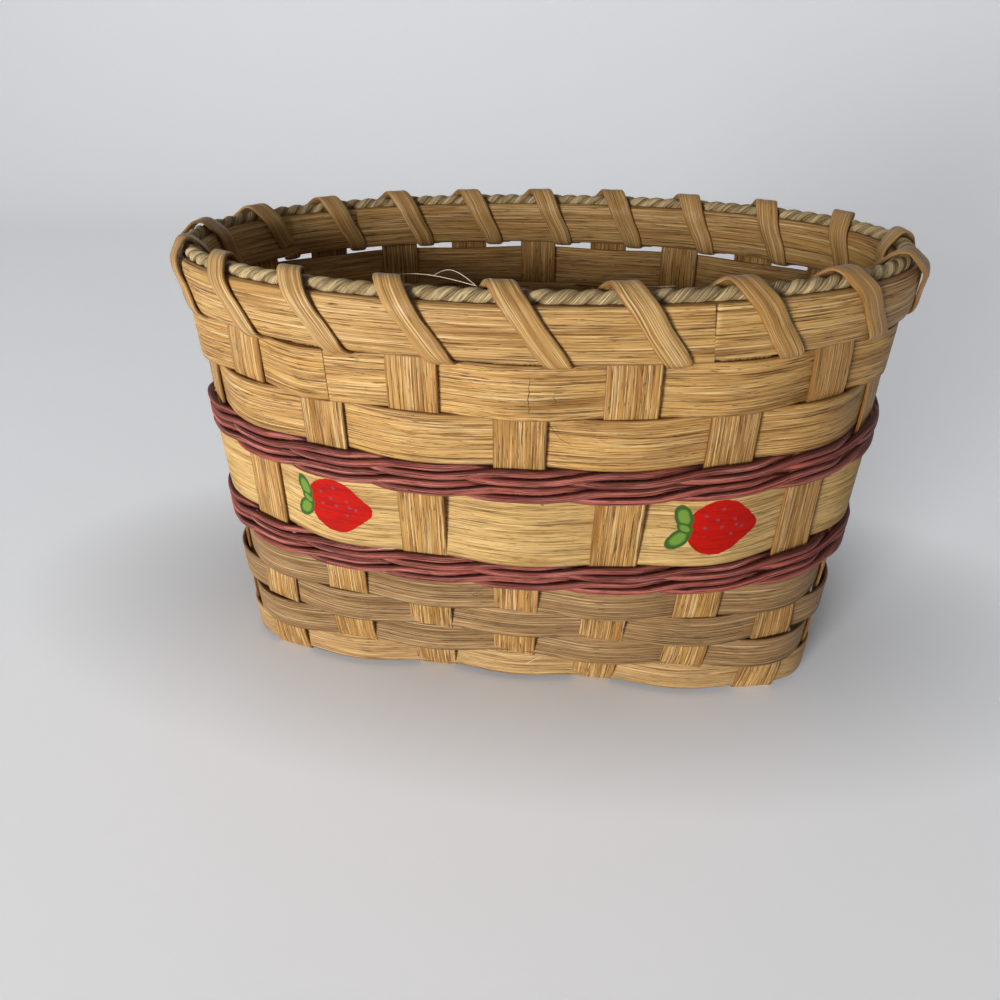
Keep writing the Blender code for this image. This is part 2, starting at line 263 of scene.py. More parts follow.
# Splinters on the wall: place and height of each end, bow and distance from the wall's middle
PALE_SPLINTERS = (
    ((0.16, 0.0088), (0.33, 0.0150), 0.0004, 0.0025),
    ((-1.30, 0.0700), (-1.50, 0.0686), 0.0004, 0.0038),
)
DARK_SPLINTERS = (
    ((0.28, 0.1208), (0.47, 0.1150), -0.0011, 0.0011),
    ((-0.36, 0.0545), (-0.50, 0.0492), -0.0008, 0.0017),
    ((-0.36, 0.0500), (-0.46, 0.0488), 0.0004, 0.0017),
)

# The stage: half its width, where the floor starts to rise, the radius of that curve and the height
STAGE_HALF = 4.0
STAGE_CURVE_FROM = 0.75
STAGE_CURVE = 0.6
STAGE_CURVE_STEPS = 12
STAGE_HEIGHT = 3.5

# How much paler the stage shows than the light on it would make it, where 1 is white, and where this
# begins and is whole, in half sizes of the basket's foot
STAGE_GLOW = 0.38
# nearer the basket the glow fades, which paints a darker ring of shadow round it beside its real shadow
STAGE_GLOW_FROM = 0.9
STAGE_GLOW_FULL = 2.2

# The key lamp's place, its side, its power in watts and the point that it looks at
KEY_PLACE = (-0.75, -1.42, 0.30)
KEY_SIZE = 0.50
KEY_POWER = 27.0
KEY_AIM = (0.0, 0.0, 0.08)

# Colour and strength of the even sky, as a light and as the background that the eye sees
SKY_COLOUR = (0.93, 0.96, 1.0, 1.0)
SKY_LIGHT = 0.13
SKY_SEEN = 0.72

# The photograph's viewpoint, its turns in radians, and its angle of view in pixels of the frame
CAMERA_PLACE = (0.0253, -0.26146, 0.21112)
CAMERA_YAW = -0.1439
CAMERA_PITCH = 0.5559
CAMERA_ROLL = -0.01174
VIEW_PIXELS = 712.7
FRAME_PIXELS = 1000.0
SENSOR_WIDTH = 36.0

# Kinds of node that are used over and over
MATH = "ShaderNodeMath"
VECTORS = "ShaderNodeVectorMath"
SPREAD = "ShaderNodeMapRange"
MIX = "ShaderNodeMix"
PLACE = "ShaderNodeMapping"
NOISE = "ShaderNodeTexNoise"
ATTRIBUTE = "ShaderNodeAttribute"
SPLIT = "ShaderNodeSeparateXYZ"
READ = "GeometryNodeInputNamedAttribute"
STORE = "GeometryNodeStoreNamedAttribute"
REMOVE = "GeometryNodeRemoveAttribute"

# What each point of a middle line carries
LINE_DATA = {
    "spot": "FLOAT_VECTOR",
    "facing": "FLOAT_VECTOR",
    "side": "FLOAT_VECTOR",
    "along": "FLOAT",
    "inner": "FLOAT",
    "outer": "FLOAT",
    "broad": "FLOAT",
}


def linear(code):
    """Linear colour of an sRGB hex value, opaque."""
    parts = [int(code[i:i + 2], 16) / 255 for i in (1, 3, 5)]
    parts = [p / 12.92 if p <= 0.04045 else ((p + 0.055) / 1.055) ** 2.4 for p in parts]
    return (*parts, 1.0)


def darker(colour, share):
    """A share of a colour, opaque."""
    return tuple(share * part for part in colour[:3]) + (1.0,)


def length_size(name, description, default):
    """A size in metres that a user can change."""
    return bpy.props.FloatProperty(
        name=name, description=description, default=default, min=0.0, precision=5, unit="LENGTH"
    )


def colour_choice(name, description, code):
    """A colour that a user can change."""
    return bpy.props.FloatVectorProperty(
        name=name, description=description, default=linear(code), size=4, min=0.0, max=1.0, subtype="COLOR"
    )


class BasketReed(bpy.types.PropertyGroup):
    """Sizes of the flat reed and the dyed rods."""

    stake_width: length_size("Stake width", "Width of an upright reed", 0.0159)
    thickness: length_size("Reed thickness", "Thickness of the flat reed", 0.0011)
    row_wave: length_size("Row wave", "How far a row swings out and in", 0.0016)
    rim_row_wave: length_size("Rim row wave", "How far the row under the rim swings", 0.0007)
    stake_wave: length_size("Stake wave", "How far a stake gives way to the rows", 0.0003)
    row_fill: length_size("Row fill", "Width that a row has over its place", 0.0009)
    fold: length_size("Fold", "Radius of a stake's fold at the foot", 0.0017)
    lap_gap: length_size("Lap gap", "Space between a row and its own lapped end", 0.00008)
    rod_radius: length_size("Rod radius", "Radius of a dyed round rod", 0.00130)
    rod_offset: length_size("Rod offset", "Middle of a rod from the middle of the wall", 0.0022)
    rod_rise: length_size("Rod rise", "How far a rod lies over or under its neighbour", 0.00155)


class BasketRim(bpy.types.PropertyGroup):
    """Sizes of the hoops, the rope and the lashing."""

    hoop_width: length_size("Hoop width", "Height of a hoop", 0.0160)
    hoop_drop: length_size("Hoop drop", "How far a hoop hangs below its place", 0.0005)
    hoop_thickness: length_size("Hoop thickness", "Thickness of a flat oval hoop", 0.0030)
    outer_seat: length_size("Outer seat", "Outer hoop from the middle of the wall", 0.00175)
    inner_seat: length_size("Inner seat", "Inner hoop from the middle of the wall", 0.00243)
    ply_radius: length_size("Ply radius", "Radius of one strand of the rope", 0.00180)
    ply_offset: length_size("Ply offset", "Middle of a strand from the middle of the rope", 0.00066)
    rope_lay: length_size("Rope lay", "Length in which a strand goes once round the rope", 0.0126)
    plies: bpy.props.IntProperty(name="Plies", description="Strands in the rope", default=2, min=2)
    lashing_width: length_size("Lashing width", "Width of the lashing strand", 0.0066)
    lashing_front: length_size("Lashing crown", "Crown of the lashing's rounded face", 0.0010)
    lashing_back: length_size("Lashing back", "Depth of the lashing's flat face", 0.0004)
    lashing_gap: length_size("Lashing gap", "Space between the lashing and the hoops", 0.00015)
    lashing_rise: length_size("Lashing rise", "How far the lashing's loops stand off at the top", 0.0009)
    fibre_radius: length_size("Fibre radius", "Radius of a loose fibre on the rim", 0.00009)


class BasketBerry(bpy.types.PropertyGroup):
    """Sizes of the painted berries."""

    every: bpy.props.IntProperty(name="Every", description="Stakes from berry to berry", default=4, min=1)
    first_stake: bpy.props.IntProperty(
        name="First", description="A stake that a berry lies over", default=10
    )
    body_place: bpy.props.FloatProperty(
        name="Body place",
        description="Broad end's middle, along from the stake",
        default=0.0004,
        unit="LENGTH",
    )
    body_rise: length_size("Body rise", "How far a berry lies above the middle of its row", 0.0019)
    stem_radius: length_size("Stem end", "Radius of the berry's broad end", 0.0106)
    tip_radius: length_size("Tip", "Radius of the berry's tip", 0.0038)
    reach: length_size("Reach", "Distance from the broad end's middle to the tip's", 0.0101)
    leaf_length: length_size("Leaf length", "Half length of a leaf", 0.0047)
    leaf_width: length_size("Leaf width", "Half width of a leaf", 0.0028)


class BasketColours(bpy.types.PropertyGroup):
    """Colours of the reed, rods, rope, berries and stage."""

    natural: colour_choice("Natural reed", "Golden reed of the upper rows", "#D2A25C")
    streak: colour_choice("Reed streak", "Darker fibres of the natural reed", "#7A4C1C")
    pale: colour_choice("Pale fibre", "Palest fibres", "#F3D298")
    stake: colour_choice("Stakes", "Reed of the stakes", "#C1904D")
    hoop: colour_choice("Hoops", "Thick reed of the rim's hoops", "#CB9E5C")
    smoked: colour_choice("Smoked reed", "Greyer reed of the lower rows", "#A98254")
    smoked_streak: colour_choice("Smoked streak", "Darker fibres of the smoked reed", "#5C3E1A")
    smoked_pale: colour_choice("Smoked highlight", "Paler fibres of the smoked reed", "#D8B686")
    foot: colour_choice("Foot row", "Pale reed of the lowest row", "#C59D66")
    painted: colour_choice("Painted row", "Broad row that carries the berries", "#DEB673")
    loose: colour_choice("Loose fibres", "Single fibres on the rim", "#FFF8EA")
    lashing: colour_choice("Lashing reed", "Smooth reed of the lashing", "#B98D50")
    dye: colour_choice("Rod dye", "Wine red of the rods", "#B45C4C")
    dye_streak: colour_choice("Rod shade", "Darker fibres of the rods", "#3C0F0D")
    dye_pale: colour_choice("Rod highlight", "Paler fibres of the rods", "#DF9484")
    grass: colour_choice("Rope", "Dry grass of the rope", "#DDBF8A")
    grass_streak: colour_choice("Rope shade", "Darker blades of the rope", "#6A522E")
    grass_pale: colour_choice("Rope highlight", "Palest blades of the rope", "#F6E3B4")
    berry: colour_choice("Berry", "Red of the berries", "#BC1408")
    leaf: colour_choice("Leaf", "Green of the leaves", "#6F9038")
    leaf_edge: colour_choice("Leaf edge", "Darker line round the leaves", "#3A5C26")
    seed: colour_choice("Seed", "Dull dots on the berries", "#754A55")
    stage: colour_choice("Stage", "Floor and backdrop", "#E6E7E9")


def curve_through(values, height):
    """Smooth curve through the values at the foot, in the middle and at the top."""
    share = height / CURVE_HEIGHT
    foot, middle, top = values
    return (
        foot * (2 * share - 1) * (share - 1)
        + middle * 4 * share * (1 - share)
        + top * share * (2 * share - 1)
    )


@functools.lru_cache(maxsize=None)
def outline(height):
    """Closed outline of the wall at a height, its run of length and its three shape values."""
    height = min(height, STRAIGHT_FROM)
    half_length = curve_through(HALF_LENGTHS, height)
    half_depth = curve_through(HALF_DEPTHS, height)
    power = OVAL_SQUARENESS + (FOOT_SQUARENESS - OVAL_SQUARENESS) * math.exp(-height / SQUARENESS_FADE)
    turn = np.linspace(0, 2 * math.pi, OUTLINE_STEPS + 1)
    across = np.abs(np.sin(turn)) / half_length
    along = np.abs(np.cos(turn)) / half_depth
    reach = (across ** power + along ** power) ** (-1 / power)
    x = reach * np.sin(turn)
    y = -reach * np.cos(turn)
    return x, y, run_of(np.stack([x, y], axis=1)), (half_length, half_depth, power)


def run_of(spots):
    """Length run along a line at each of its points."""
    return np.concatenate([[0], np.cumsum(np.linalg.norm(np.diff(spots, axis=0), axis=1))])


def unit(vectors):
    """The vectors at length 1."""
    return vectors / np.linalg.norm(vectors, axis=1)[:, None]


def upward(count):
    """The way up, once for each of a number of points."""
    return np.tile([0.0, 0.0, 1.0], (count, 1))


def eased(share):
    """A share from 0 to 1 that starts and stops softly."""
    return share * share * (3 - 2 * share)


def pitch_at(height):
    """Distance from stake to stake along the wall."""
    return outline(height)[2][-1] / STAKES


def on_wall(stakes, height, along=0.0):
    """Points on the middle of the wall at places counted in stakes, and the ways that it faces there."""
    x, y, run, (half_length, half_depth, power) = outline(height)
    lean = LEAN_AT_TOP * math.sin(math.pi / 2 * min(height, STRAIGHT_FROM) / STRAIGHT_FROM)
    place = (np.atleast_1d(stakes) / STAKES * run[-1] + lean + along) % run[-1]
    px = np.interp(place, run, x)
    py = np.interp(place, run, y)
    nx = np.abs(px / half_length) ** (power - 1) / half_length * np.sign(px)
    ny = np.abs(py / half_depth) ** (power - 1) / half_depth * np.sign(py)
    outward = unit(np.stack([nx, ny, np.zeros_like(nx)], axis=1))
    return np.stack([px, py, np.full_like(px, height)], axis=1), outward


def stake_at(stake, height, width):
    """Middle of a flat stake in the wall, the way it faces and its sideways direction."""
    left = on_wall(stake, height, -width / 2)[0][0]
    right = on_wall(stake, height, width / 2)[0][0]
    side = (right - left) / np.linalg.norm(right - left)
    return (left + right) / 2, np.array([side[1], -side[0], 0.0]), side


def soften(values, steps):
    """The values with their corners rounded over a number of steps."""
    window = np.hanning(steps + 2)[1:-1]
    window = window / window.sum()
    padded = np.concatenate([[values[0]] * steps, values, [values[-1]] * steps])
    return np.convolve(padded, window, mode="same")[steps:-steps]


def wander(places, seed, size):
    """Small slow irregularity along a hand-woven piece."""
    total = np.zeros_like(places)
    for k, rate in enumerate((0.31, 0.73, 1.37)):
        total = total + np.sin(places * rate + seed * (2.1 + 1.7 * k)) / (k + 1)
    return total * size / 2


def spine(spots, facings, sides, along=None, start=0.0, **shares):
    """Middle line of a strip with the way it faces, its sideways direction and its run of length."""
    spots = np.array(spots)
    ahead = unit(np.gradient(spots, axis=0))
    facings = np.array(facings)
    facings = unit(facings - ahead * np.sum(facings * ahead, axis=1)[:, None])
    square = np.cross(facings, ahead)
    square = square * np.sign(np.sum(square * sides, axis=1))[:, None]
    along = run_of(spots) if along is None else along
    line = {"spot": spots, "facing": facings, "side": square, "along": along + start}
    for name, usual in (("inner", 0.0), ("outer", 1.0), ("broad", 1.0)):
        line[name] = shares.get(name, np.full(len(spots), usual))
    return line


def line_mesh(name, spines):
    """Mesh of edges that carries the middle lines and their attributes."""
    edges = []
    first = 0
    for line in spines:
        count = len(line["spot"])
        edges += [(first + i, first + i + 1) for i in range(count - 1)]
        first += count
    mesh = bpy.data.meshes.new(name)
    mesh.from_pydata(np.concatenate([line["spot"] for line in spines]).tolist(), edges, [])
    for key, kind in LINE_DATA.items():
        values = np.concatenate([line[key] for line in spines]).astype(np.float32)
        field = "vector" if kind == "FLOAT_VECTOR" else "value"
        mesh.attributes.new(key, kind, "POINT").data.foreach_set(field, values.ravel())
    return mesh


def fill_inputs(tree, node, inputs):
    """Fills or links a node's inputs, by name or in order.

    A node among the values stands for its first output that is in use.
    """
    pairs = inputs.items() if isinstance(inputs, dict) else enumerate(inputs)
    for key, value in pairs:
        if isinstance(value, bpy.types.Node):
            value = next(socket for socket in value.outputs if socket.enabled)
        if isinstance(value, bpy.types.NodeSocket):
            tree.links.new(value, node.inputs[key])
        else:
            node.inputs[key].default_value = value


def add_node(tree, kind, inputs=(), **settings):
    """Adds a node with its settings, and links or fills its inputs."""
    node = tree.nodes.new(kind)
    for name, value in settings.items():
        setattr(node, name, value)
    fill_inputs(tree, node, inputs)
    return node


def new_tree(name, sockets):
    """Geometry node tree with named inputs."""
    tree = bpy.data.node_groups.new(name, "GeometryNodeTree")
    tree.interface.new_socket("Geometry", in_out="INPUT", socket_type="NodeSocketGeometry")
    tree.interface.new_socket("Geometry", in_out="OUTPUT", socket_type="NodeSocketGeometry")
    for label, kind, value in sockets:
        socket = tree.interface.new_socket(label, in_out="INPUT", socket_type=kind)
        if value is not None:
            socket.default_value = value
    return tree


SECTION_SOCKETS = (
    ("Width", "NodeSocketFloat", 0.01),
    ("Front", "NodeSocketFloat", 0.0005),
    ("Back", "NodeSocketFloat", 0.0005),
    ("Front Fullness", "NodeSocketFloat", 0.2),
    ("Back Fullness", "NodeSocketFloat", 0.2),
    ("Edge Fullness", "NodeSocketFloat", 0.35),
    ("Corners", "NodeSocketInt", 16),
    ("Finish", "NodeSocketMaterial", None),
)


def section_tree():
    """Tree that gives a curve the rounded section of a reed, and keeps the grain's own coordinates."""
    name = "Reed Section"
    if name in bpy.data.node_groups:
        return bpy.data.node_groups[name]
    tree = new_tree(name, SECTION_SOCKETS)
    add = functools.partial(add_node, tree)
    given = add("NodeGroupInput").outputs
    ring = add("GeometryNodeCurvePrimitiveCircle", {"Resolution": given["Corners"]})
    factor = add("GeometryNodeSplineParameter").outputs["Factor"]
    turn = {"Geometry": ring, "Name": "turn", "Value": factor}
    ring = add(STORE, turn, data_type="FLOAT", domain="POINT")
    shape = add(
        "GeometryNodeCurveToMesh", {"Curve": given["Geometry"], "Profile Curve": ring, "Fill Caps": True}
    )
    kinds = {**LINE_DATA, "turn": "FLOAT"}
    kept = {key: add(READ, {"Name": key}, data_type=kind) for key, kind in kinds.items()}

    # how far across and how deep each corner of the section lies
    half = add(MATH, (0.5, given["Corners"]), operation="DIVIDE")
    angle = add(MATH, (add(MATH, (kept["turn"], half)), 2 * math.pi), operation="MULTIPLY")
    cosine = add(MATH, (angle,), operation="COSINE")
    sine = add(MATH, (angle,), operation="SINE")
    size = add(MATH, (cosine,), operation="ABSOLUTE")
    size = add(MATH, (size, given["Edge Fullness"]), operation="POWER")
    sign = add(MATH, (cosine,), operation="SIGN")
    across = add(MATH, (size, sign), operation="MULTIPLY")
    faces = []
    for label, way in (("Front", 1.0), ("Back", -1.0)):
        part = add(MATH, (sine, way), operation="MULTIPLY")
        part = add(MATH, (part, 0.0), operation="MAXIMUM")
        part = add(MATH, (part, given[label + " Fullness"]), operation="POWER")
        faces.append(add(MATH, (part, given[label]), operation="MULTIPLY"))
    whole_depth = add(MATH, faces, operation="SUBTRACT")

    # a shaved end keeps only the layers from its inner to its outer share
    from_back = add(MATH, (whole_depth, given["Back"]))
    layer = add(MATH, (kept["outer"], kept["inner"]), operation="SUBTRACT")
    whole = add(MATH, (given["Front"], given["Back"]))
    low = add(MATH, (kept["inner"], whole), operation="MULTIPLY")
    low = add(MATH, (low, given["Back"]), operation="SUBTRACT")
    depth = add(MATH, (from_back, layer, low), operation="MULTIPLY_ADD")
    wide = add(MATH, (given["Width"], 0.5), operation="MULTIPLY")
    wide = add(MATH, (wide, kept["broad"]), operation="MULTIPLY")
    wide = add(MATH, (wide, across), operation="MULTIPLY")
    sideways = add(VECTORS, {0: kept["side"], "Scale": wide}, operation="SCALE")
    outwards = add(VECTORS, {0: kept["facing"], "Scale": depth}, operation="SCALE")
    place = add(VECTORS, (add(VECTORS, (kept["spot"], sideways)), outwards))

    # what the materials read
    grain = add("ShaderNodeCombineXYZ", (kept["along"], wide, whole_depth))
    edge = add(MATH, (across,), operation="ABSOLUTE")
    for key, kind, value in (("grain", "FLOAT_VECTOR", grain), ("edge", "FLOAT", edge)):
        shape = add(STORE, {"Geometry": shape, "Name": key, "Value": value}, data_type=kind, domain="POINT")
    shape = add("GeometryNodeSetPosition", {"Geometry": shape, "Position": place})
    for key in kinds:
        shape = add(REMOVE, {"Geometry": shape, "Name": key})
    add("NodeGroupOutput", {"Geometry": shape})
    return tree


def end_tree(tree, curve, given):
    """Ends a tree: the reed section, smooth sides with flat ends, real instances and the material."""
    add = functools.partial(add_node, tree)
    inputs = {label: given[label] for label, _, _ in SECTION_SOCKETS}
    shape = add("GeometryNodeGroup", node_tree=section_tree())
    fill_inputs(tree, shape, {"Geometry": curve, **inputs})
    corners = add("GeometryNodeInputMeshFaceNeighbors").outputs["Vertex Count"]
    long_side = add("FunctionNodeCompare", {"A": corners, "B": 5}, data_type="INT", operation="LESS_THAN")
    shape = add("GeometryNodeSetShadeSmooth", {"Geometry": shape, "Selection": long_side})
    shape = add("GeometryNodeRealizeInstances", {"Geometry": shape})
    shape = add("GeometryNodeSetMaterial", {"Geometry": shape, "Material": given["Finish"]})
    add("NodeGroupOutput", {"Geometry": shape})


def strip_tree():
    """Tree that turns middle lines into strips, rods or hoops."""
    name = "Reed Strip"
    if name in bpy.data.node_groups:
        return bpy.data.node_groups[name]
    tree = new_tree(name, SECTION_SOCKETS)
    given = add_node(tree, "NodeGroupInput").outputs
    end_tree(tree, add_node(tree, "GeometryNodeMeshToCurve", {"Mesh": given["Geometry"]}), given)
    return tree


def rope_tree():
    """Tree that lays strands round one middle line, each turned by its share of the lay."""
    name = "Laid Rope"
    if name in bpy.data.node_groups:
        return bpy.data.node_groups[name]
    extra = (
        ("Plies", "NodeSocketInt", 2),
        ("Lay", "NodeSocketFloat", 0.0126),
        ("Ply Offset", "NodeSocketFloat", 0.0009),
    )
    tree = new_tree(name, SECTION_SOCKETS + extra)
    add = functools.partial(add_node, tree)
    given = add("NodeGroupInput").outputs
    curve = add("GeometryNodeMeshToCurve", {"Mesh": given["Geometry"]})
    plies = add(
        "GeometryNodeDuplicateElements", {"Geometry": curve, "Amount": given["Plies"]}, domain="SPLINE"
    )
    keys = ("spot", "facing", "side", "along")
    kept = {key: add(READ, {"Name": key}, data_type=LINE_DATA[key]) for key in keys}
    turns = add(MATH, (kept["along"], given["Lay"]), operation="DIVIDE")
    share = add(MATH, (plies.outputs["Duplicate Index"], given["Plies"]), operation="DIVIDE")
    angle = add(MATH, (add(MATH, (turns, share)), 2 * math.pi), operation="MULTIPLY")
    cosine = add(MATH, (angle,), operation="COSINE")
    sine = add(MATH, (angle,), operation="SINE")
    against = add(MATH, (sine, -1.0), operation="MULTIPLY")
    ways = []
    for first, second in ((cosine, sine), (against, cosine)):
        out = add(VECTORS, {0: kept["facing"], "Scale": first}, operation="SCALE")
        up = add(VECTORS, {0: kept["side"], "Scale": second}, operation="SCALE")
        ways.append(add(VECTORS, (out, up)))
    out = add(VECTORS, {0: ways[0], "Scale": given["Ply Offset"]}, operation="SCALE")
    spot = add(VECTORS, (kept["spot"], out))

    # the new values are kept under other names until all of them are worked out
    shape = plies
    as_vector = {"data_type": "FLOAT_VECTOR", "domain": "POINT"}
    for key, value in (("next_spot", spot), ("next_facing", ways[0]), ("next_side", ways[1])):
        shape = add(STORE, {"Geometry": shape, "Name": key, "Value": value}, **as_vector)
    for key in ("spot", "facing", "side"):
        value = add(READ, {"Name": "next_" + key}, data_type="FLOAT_VECTOR")
        shape = add(STORE, {"Geometry": shape, "Name": key, "Value": value}, **as_vector)
        shape = add(REMOVE, {"Geometry": shape, "Name": "next_" + key})
    end_tree(tree, shape, given)
    return tree


def turn_outwards(mesh):
    """Turns a closed mesh's faces outwards."""
    shape = bmesh.new()
    shape.from_mesh(mesh)
    if shape.calc_volume(signed=True) < 0:
        bmesh.ops.reverse_faces(shape, faces=shape.faces)
    shape.to_mesh(mesh)
    shape.free()


def grow(context, name, lines, sizes, finish, slot, *nodes, tree=None):
    """Turns middle lines into a plain mesh piece through a node tree, in place of its nodes."""
    tree = tree or strip_tree()
    line = line_mesh(name + "_line", lines)
    piece = bpy.data.objects.new(name, line)
    context.scene.collection.objects.link(piece)
    modifier = piece.modifiers.new("Grow", "NODES")
    modifier.node_group = tree
    values = {**sizes, "Finish": finish}
    for item in tree.interface.items_tree:
        if item.item_type == "SOCKET" and item.name in values:
            modifier[item.identifier] = values[item.name]
    context.view_layer.update()
    mesh = bpy.data.meshes.new_from_object(piece.evaluated_get(context.evaluated_depsgraph_get()))
    piece.modifiers.remove(modifier)
    piece.data = mesh
    bpy.data.meshes.remove(line)
    mesh.name = name
    if not mesh.polygons:
        raise RuntimeError("no faces were made for " + name)
    turn_outwards(mesh)
    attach(piece, "root")
    if nodes:
        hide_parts(*nodes)


def section(width, front, back, corners, fullness):
    """Section of a reed: its faces' depths, and how full its front, back and edges are."""
    return {
        "Width": width,
        "Front": front,
        "Back": back,
        "Front Fullness": fullness[0],
        "Back Fullness": fullness[1],
        "Edge Fullness": fullness[2],
        "Corners": corners,
    }


def flat_reed(width, thickness):
    """Section of a flat reed with slightly rounded edges."""
    return section(width, thickness / 2, thickness / 2, 16, (0.16, 0.16, 0.35))


def round_rod(radius, corners=10):
    """Section of a round rod or fibre."""
    return section(2 * radius, radius, radius, corners, (1.0, 1.0, 1.0))


def fibre_layers(tree, grain, tone, layers):
    """Colour and relief of a fibrous piece, laid on layer by layer along its grain.

    A layer has its fibres' length and width, where its noise begins and is whole, its strength, its
    colour and how far it stands up.
    """
    add = functools.partial(add_node, tree)
    colour = tone
    relief = 0.0
    for number, (along, across, low, high, strength, tint, rise) in enumerate(layers):
        shift = (number * LAYER_SHIFT[0], number * LAYER_SHIFT[1], 0.0)
        scale = (1 / along, 1 / across, 1 / across)
        place = add(PLACE, {"Vector": grain, "Location": shift, "Scale": scale}, vector_type="POINT")
        noise = add(NOISE, {"Vector": place, "Scale": 1.0, "Detail": 3.0, "Roughness": 0.65})
        share = add(SPREAD, {0: noise, 1: low, 2: high, 4: strength}, clamp=True)
        colour = add(MIX, {0: share, 6: colour, 7: tint}, data_type="RGBA")
        relief = add(MATH, (share, rise, relief), operation="MULTIPLY_ADD")
    return colour, relief


def reed_layers(streak, pale, fibre, length, deep):
    """Layers of split cane: broad shade, bundles, pale fibres, thin dark lines and short open pores."""
    dark = darker(streak, PORE_SHADE)
    return (
        (length * 1.4, fibre * 9, 0.42, 0.66, 0.45 * deep, streak, 0.0),
        (length * 0.9, fibre * 2.0, 0.54, 0.36, 0.50 * deep, streak, -0.5),
        (length, fibre * 0.75, 0.50, 0.64, 0.70, pale, 0.5),
        (length * 0.7, fibre * 0.6, 0.53, 0.66, 0.80 * deep, streak, -0.6),
        (length * 0.4, fibre * 0.55, 0.58, 0.68, 0.90 * deep, dark, -0.9),
        (length * 0.12, fibre * 0.5, 0.62, 0.69, 0.80 * deep, dark, -1.0),
    )


def bare_reed(name, tones, fibre, length, deep, edge_stain_and_shade_from=0.92, edge_stain_and_shade_deep=0.6):
    """New material with its grain, and the colour and relief of bare reed.

    Its edges are darker: partly a real stain along the cut edges, partly painted shade where the edges meet
    the next piece.
    """
    tone, streak, pale = tones
    material = bpy.data.materials.new(name)
    material.use_nodes = True
    tree = material.node_tree
    grain = add_node(tree, ATTRIBUTE, attribute_name="grain").outputs["Vector"]
    colour, relief = fibre_layers(tree, grain, tone, reed_layers(streak, pale, fibre, length, deep))
    # the edges darken towards the streak colour: painted shade where pieces meet, partly a stain on the cut
    # edges
    edge = add_node(tree, ATTRIBUTE, attribute_name="edge").outputs["Fac"]
    share = add_node(tree, SPREAD, {0: edge, 1: edge_stain_and_shade_from, 2: 1.0, 4: edge_stain_and_shade_deep}, clamp=True)
    colour = add_node(tree, MIX, {0: share, 6: colour, 7: streak}, data_type="RGBA")
    return material, grain, colour, relief


def dress_surface(material, colour, relief, rough, depth, shine=0.25):
    """Joins the colour, and a roughness and a relief that follow the fibres, to the surface."""
    tree = material.node_tree
    roughness = add_node(tree, SPREAD, {0: relief, 1: -1.0, 2: 0.5, 3: rough[0], 4: rough[1]})
    bump = add_node(tree, "ShaderNodeBump", {"Strength": 0.9, "Distance": depth, "Height": relief})
    joined = {"Base Color": colour, "Roughness": roughness, "Normal": bump, "Specular IOR Level": shine}
    fill_inputs(tree, tree.nodes["Principled BSDF"], joined)


def split_reed(name, colours, fields, fibre=0.00065, length=0.045, deep=1.0, depth=REED_RELIEF,
               rough=(0.66, 0.44), edge_stain_and_shade_from=0.92, edge_stain_and_shade_deep=0.6, cracks=()):
    """Split rattan core, oiled or dyed: long fibres about half a millimetre wide, and a satin shine.

    The fields name its tone, its darker streaks and its palest fibres among the colours.
    """
    if name in bpy.data.materials:
        return bpy.data.materials[name]
    tones = [tuple(getattr(colours, field)) for field in fields]
    material, grain, colour, relief = bare_reed(name, tones, fibre, length, deep, edge_stain_and_shade_from, edge_stain_and_shade_deep)
    colour = hairline_cracks(material.node_tree, grain, colour, darker(tones[1], PORE_SHADE), cracks)
    dress_surface(material, colour, relief, rough, depth)
    return material


def hairline_cracks(tree, grain, colour, dark, cracks):
    """The colour with short dark cracks across the fibres, each a little crooked."""
    add = functools.partial(add_node, tree)
    if not cracks:
        return colour
    along, across, _ = add(SPLIT, (grain,)).outputs
    crooked = add(NOISE, {"Vector": grain, "Scale": 1 / CRACK_BEND, "Detail": 1.0})
    crooked = add(MATH, (crooked, CRACK_WANDER, along), operation="MULTIPLY_ADD")
    for place, low, high, width in cracks:
        off = add(MATH, (crooked, place + CRACK_WANDER / 2), operation="SUBTRACT")
        off = add(MATH, (off,), operation="ABSOLUTE")
        share = add(SPREAD, (off, width, width / 3), clamp=True)
        for end, taper in ((low, CRACK_TAPER_LOW), (high, -CRACK_TAPER_HIGH)):
            part = add(SPREAD, (across, end, end + taper), clamp=True)
            share = add(MATH, (share, part), operation="MULTIPLY")
        colour = add(MIX, {0: share, 6: colour, 7: dark}, data_type="RGBA")
    return colour


def berry_share(tree, flat, berry):
    """Places in a berry, and how far inside its outline they lie: a round end that narrows to a tip."""
    add = functools.partial(add_node, tree)
    narrowing = (berry.stem_radius - berry.tip_radius) / berry.reach
    lean = narrowing / math.sqrt(1 - narrowing ** 2)
    shift = (berry.body_place, 0.0, 0.0)
    turn = (0.0, 0.0, math.radians(BERRY_TURN))
    body = add(PLACE, {"Vector": flat, "Location": shift, "Rotation": turn}, vector_type="TEXTURE")
    axis = add(SPLIT, (body,)).outputs
    off = add(MATH, (axis[1],), operation="ABSOLUTE")
    near = add(MATH, (off, -lean, axis[0]), operation="MULTIPLY_ADD")
    near = add("ShaderNodeClamp", {"Value": near, "Min": 0.0, "Max": berry.reach})
    gap = add("ShaderNodeCombineXYZ", (add(MATH, (axis[0], near), operation="SUBTRACT"), off))
    gap = add(VECTORS, (gap,), operation="LENGTH")
    radius = add(MATH, (near, -narrowing, berry.stem_radius), operation="MULTIPLY_ADD")
    return body, add(MATH, (radius, gap), operation="SUBTRACT")


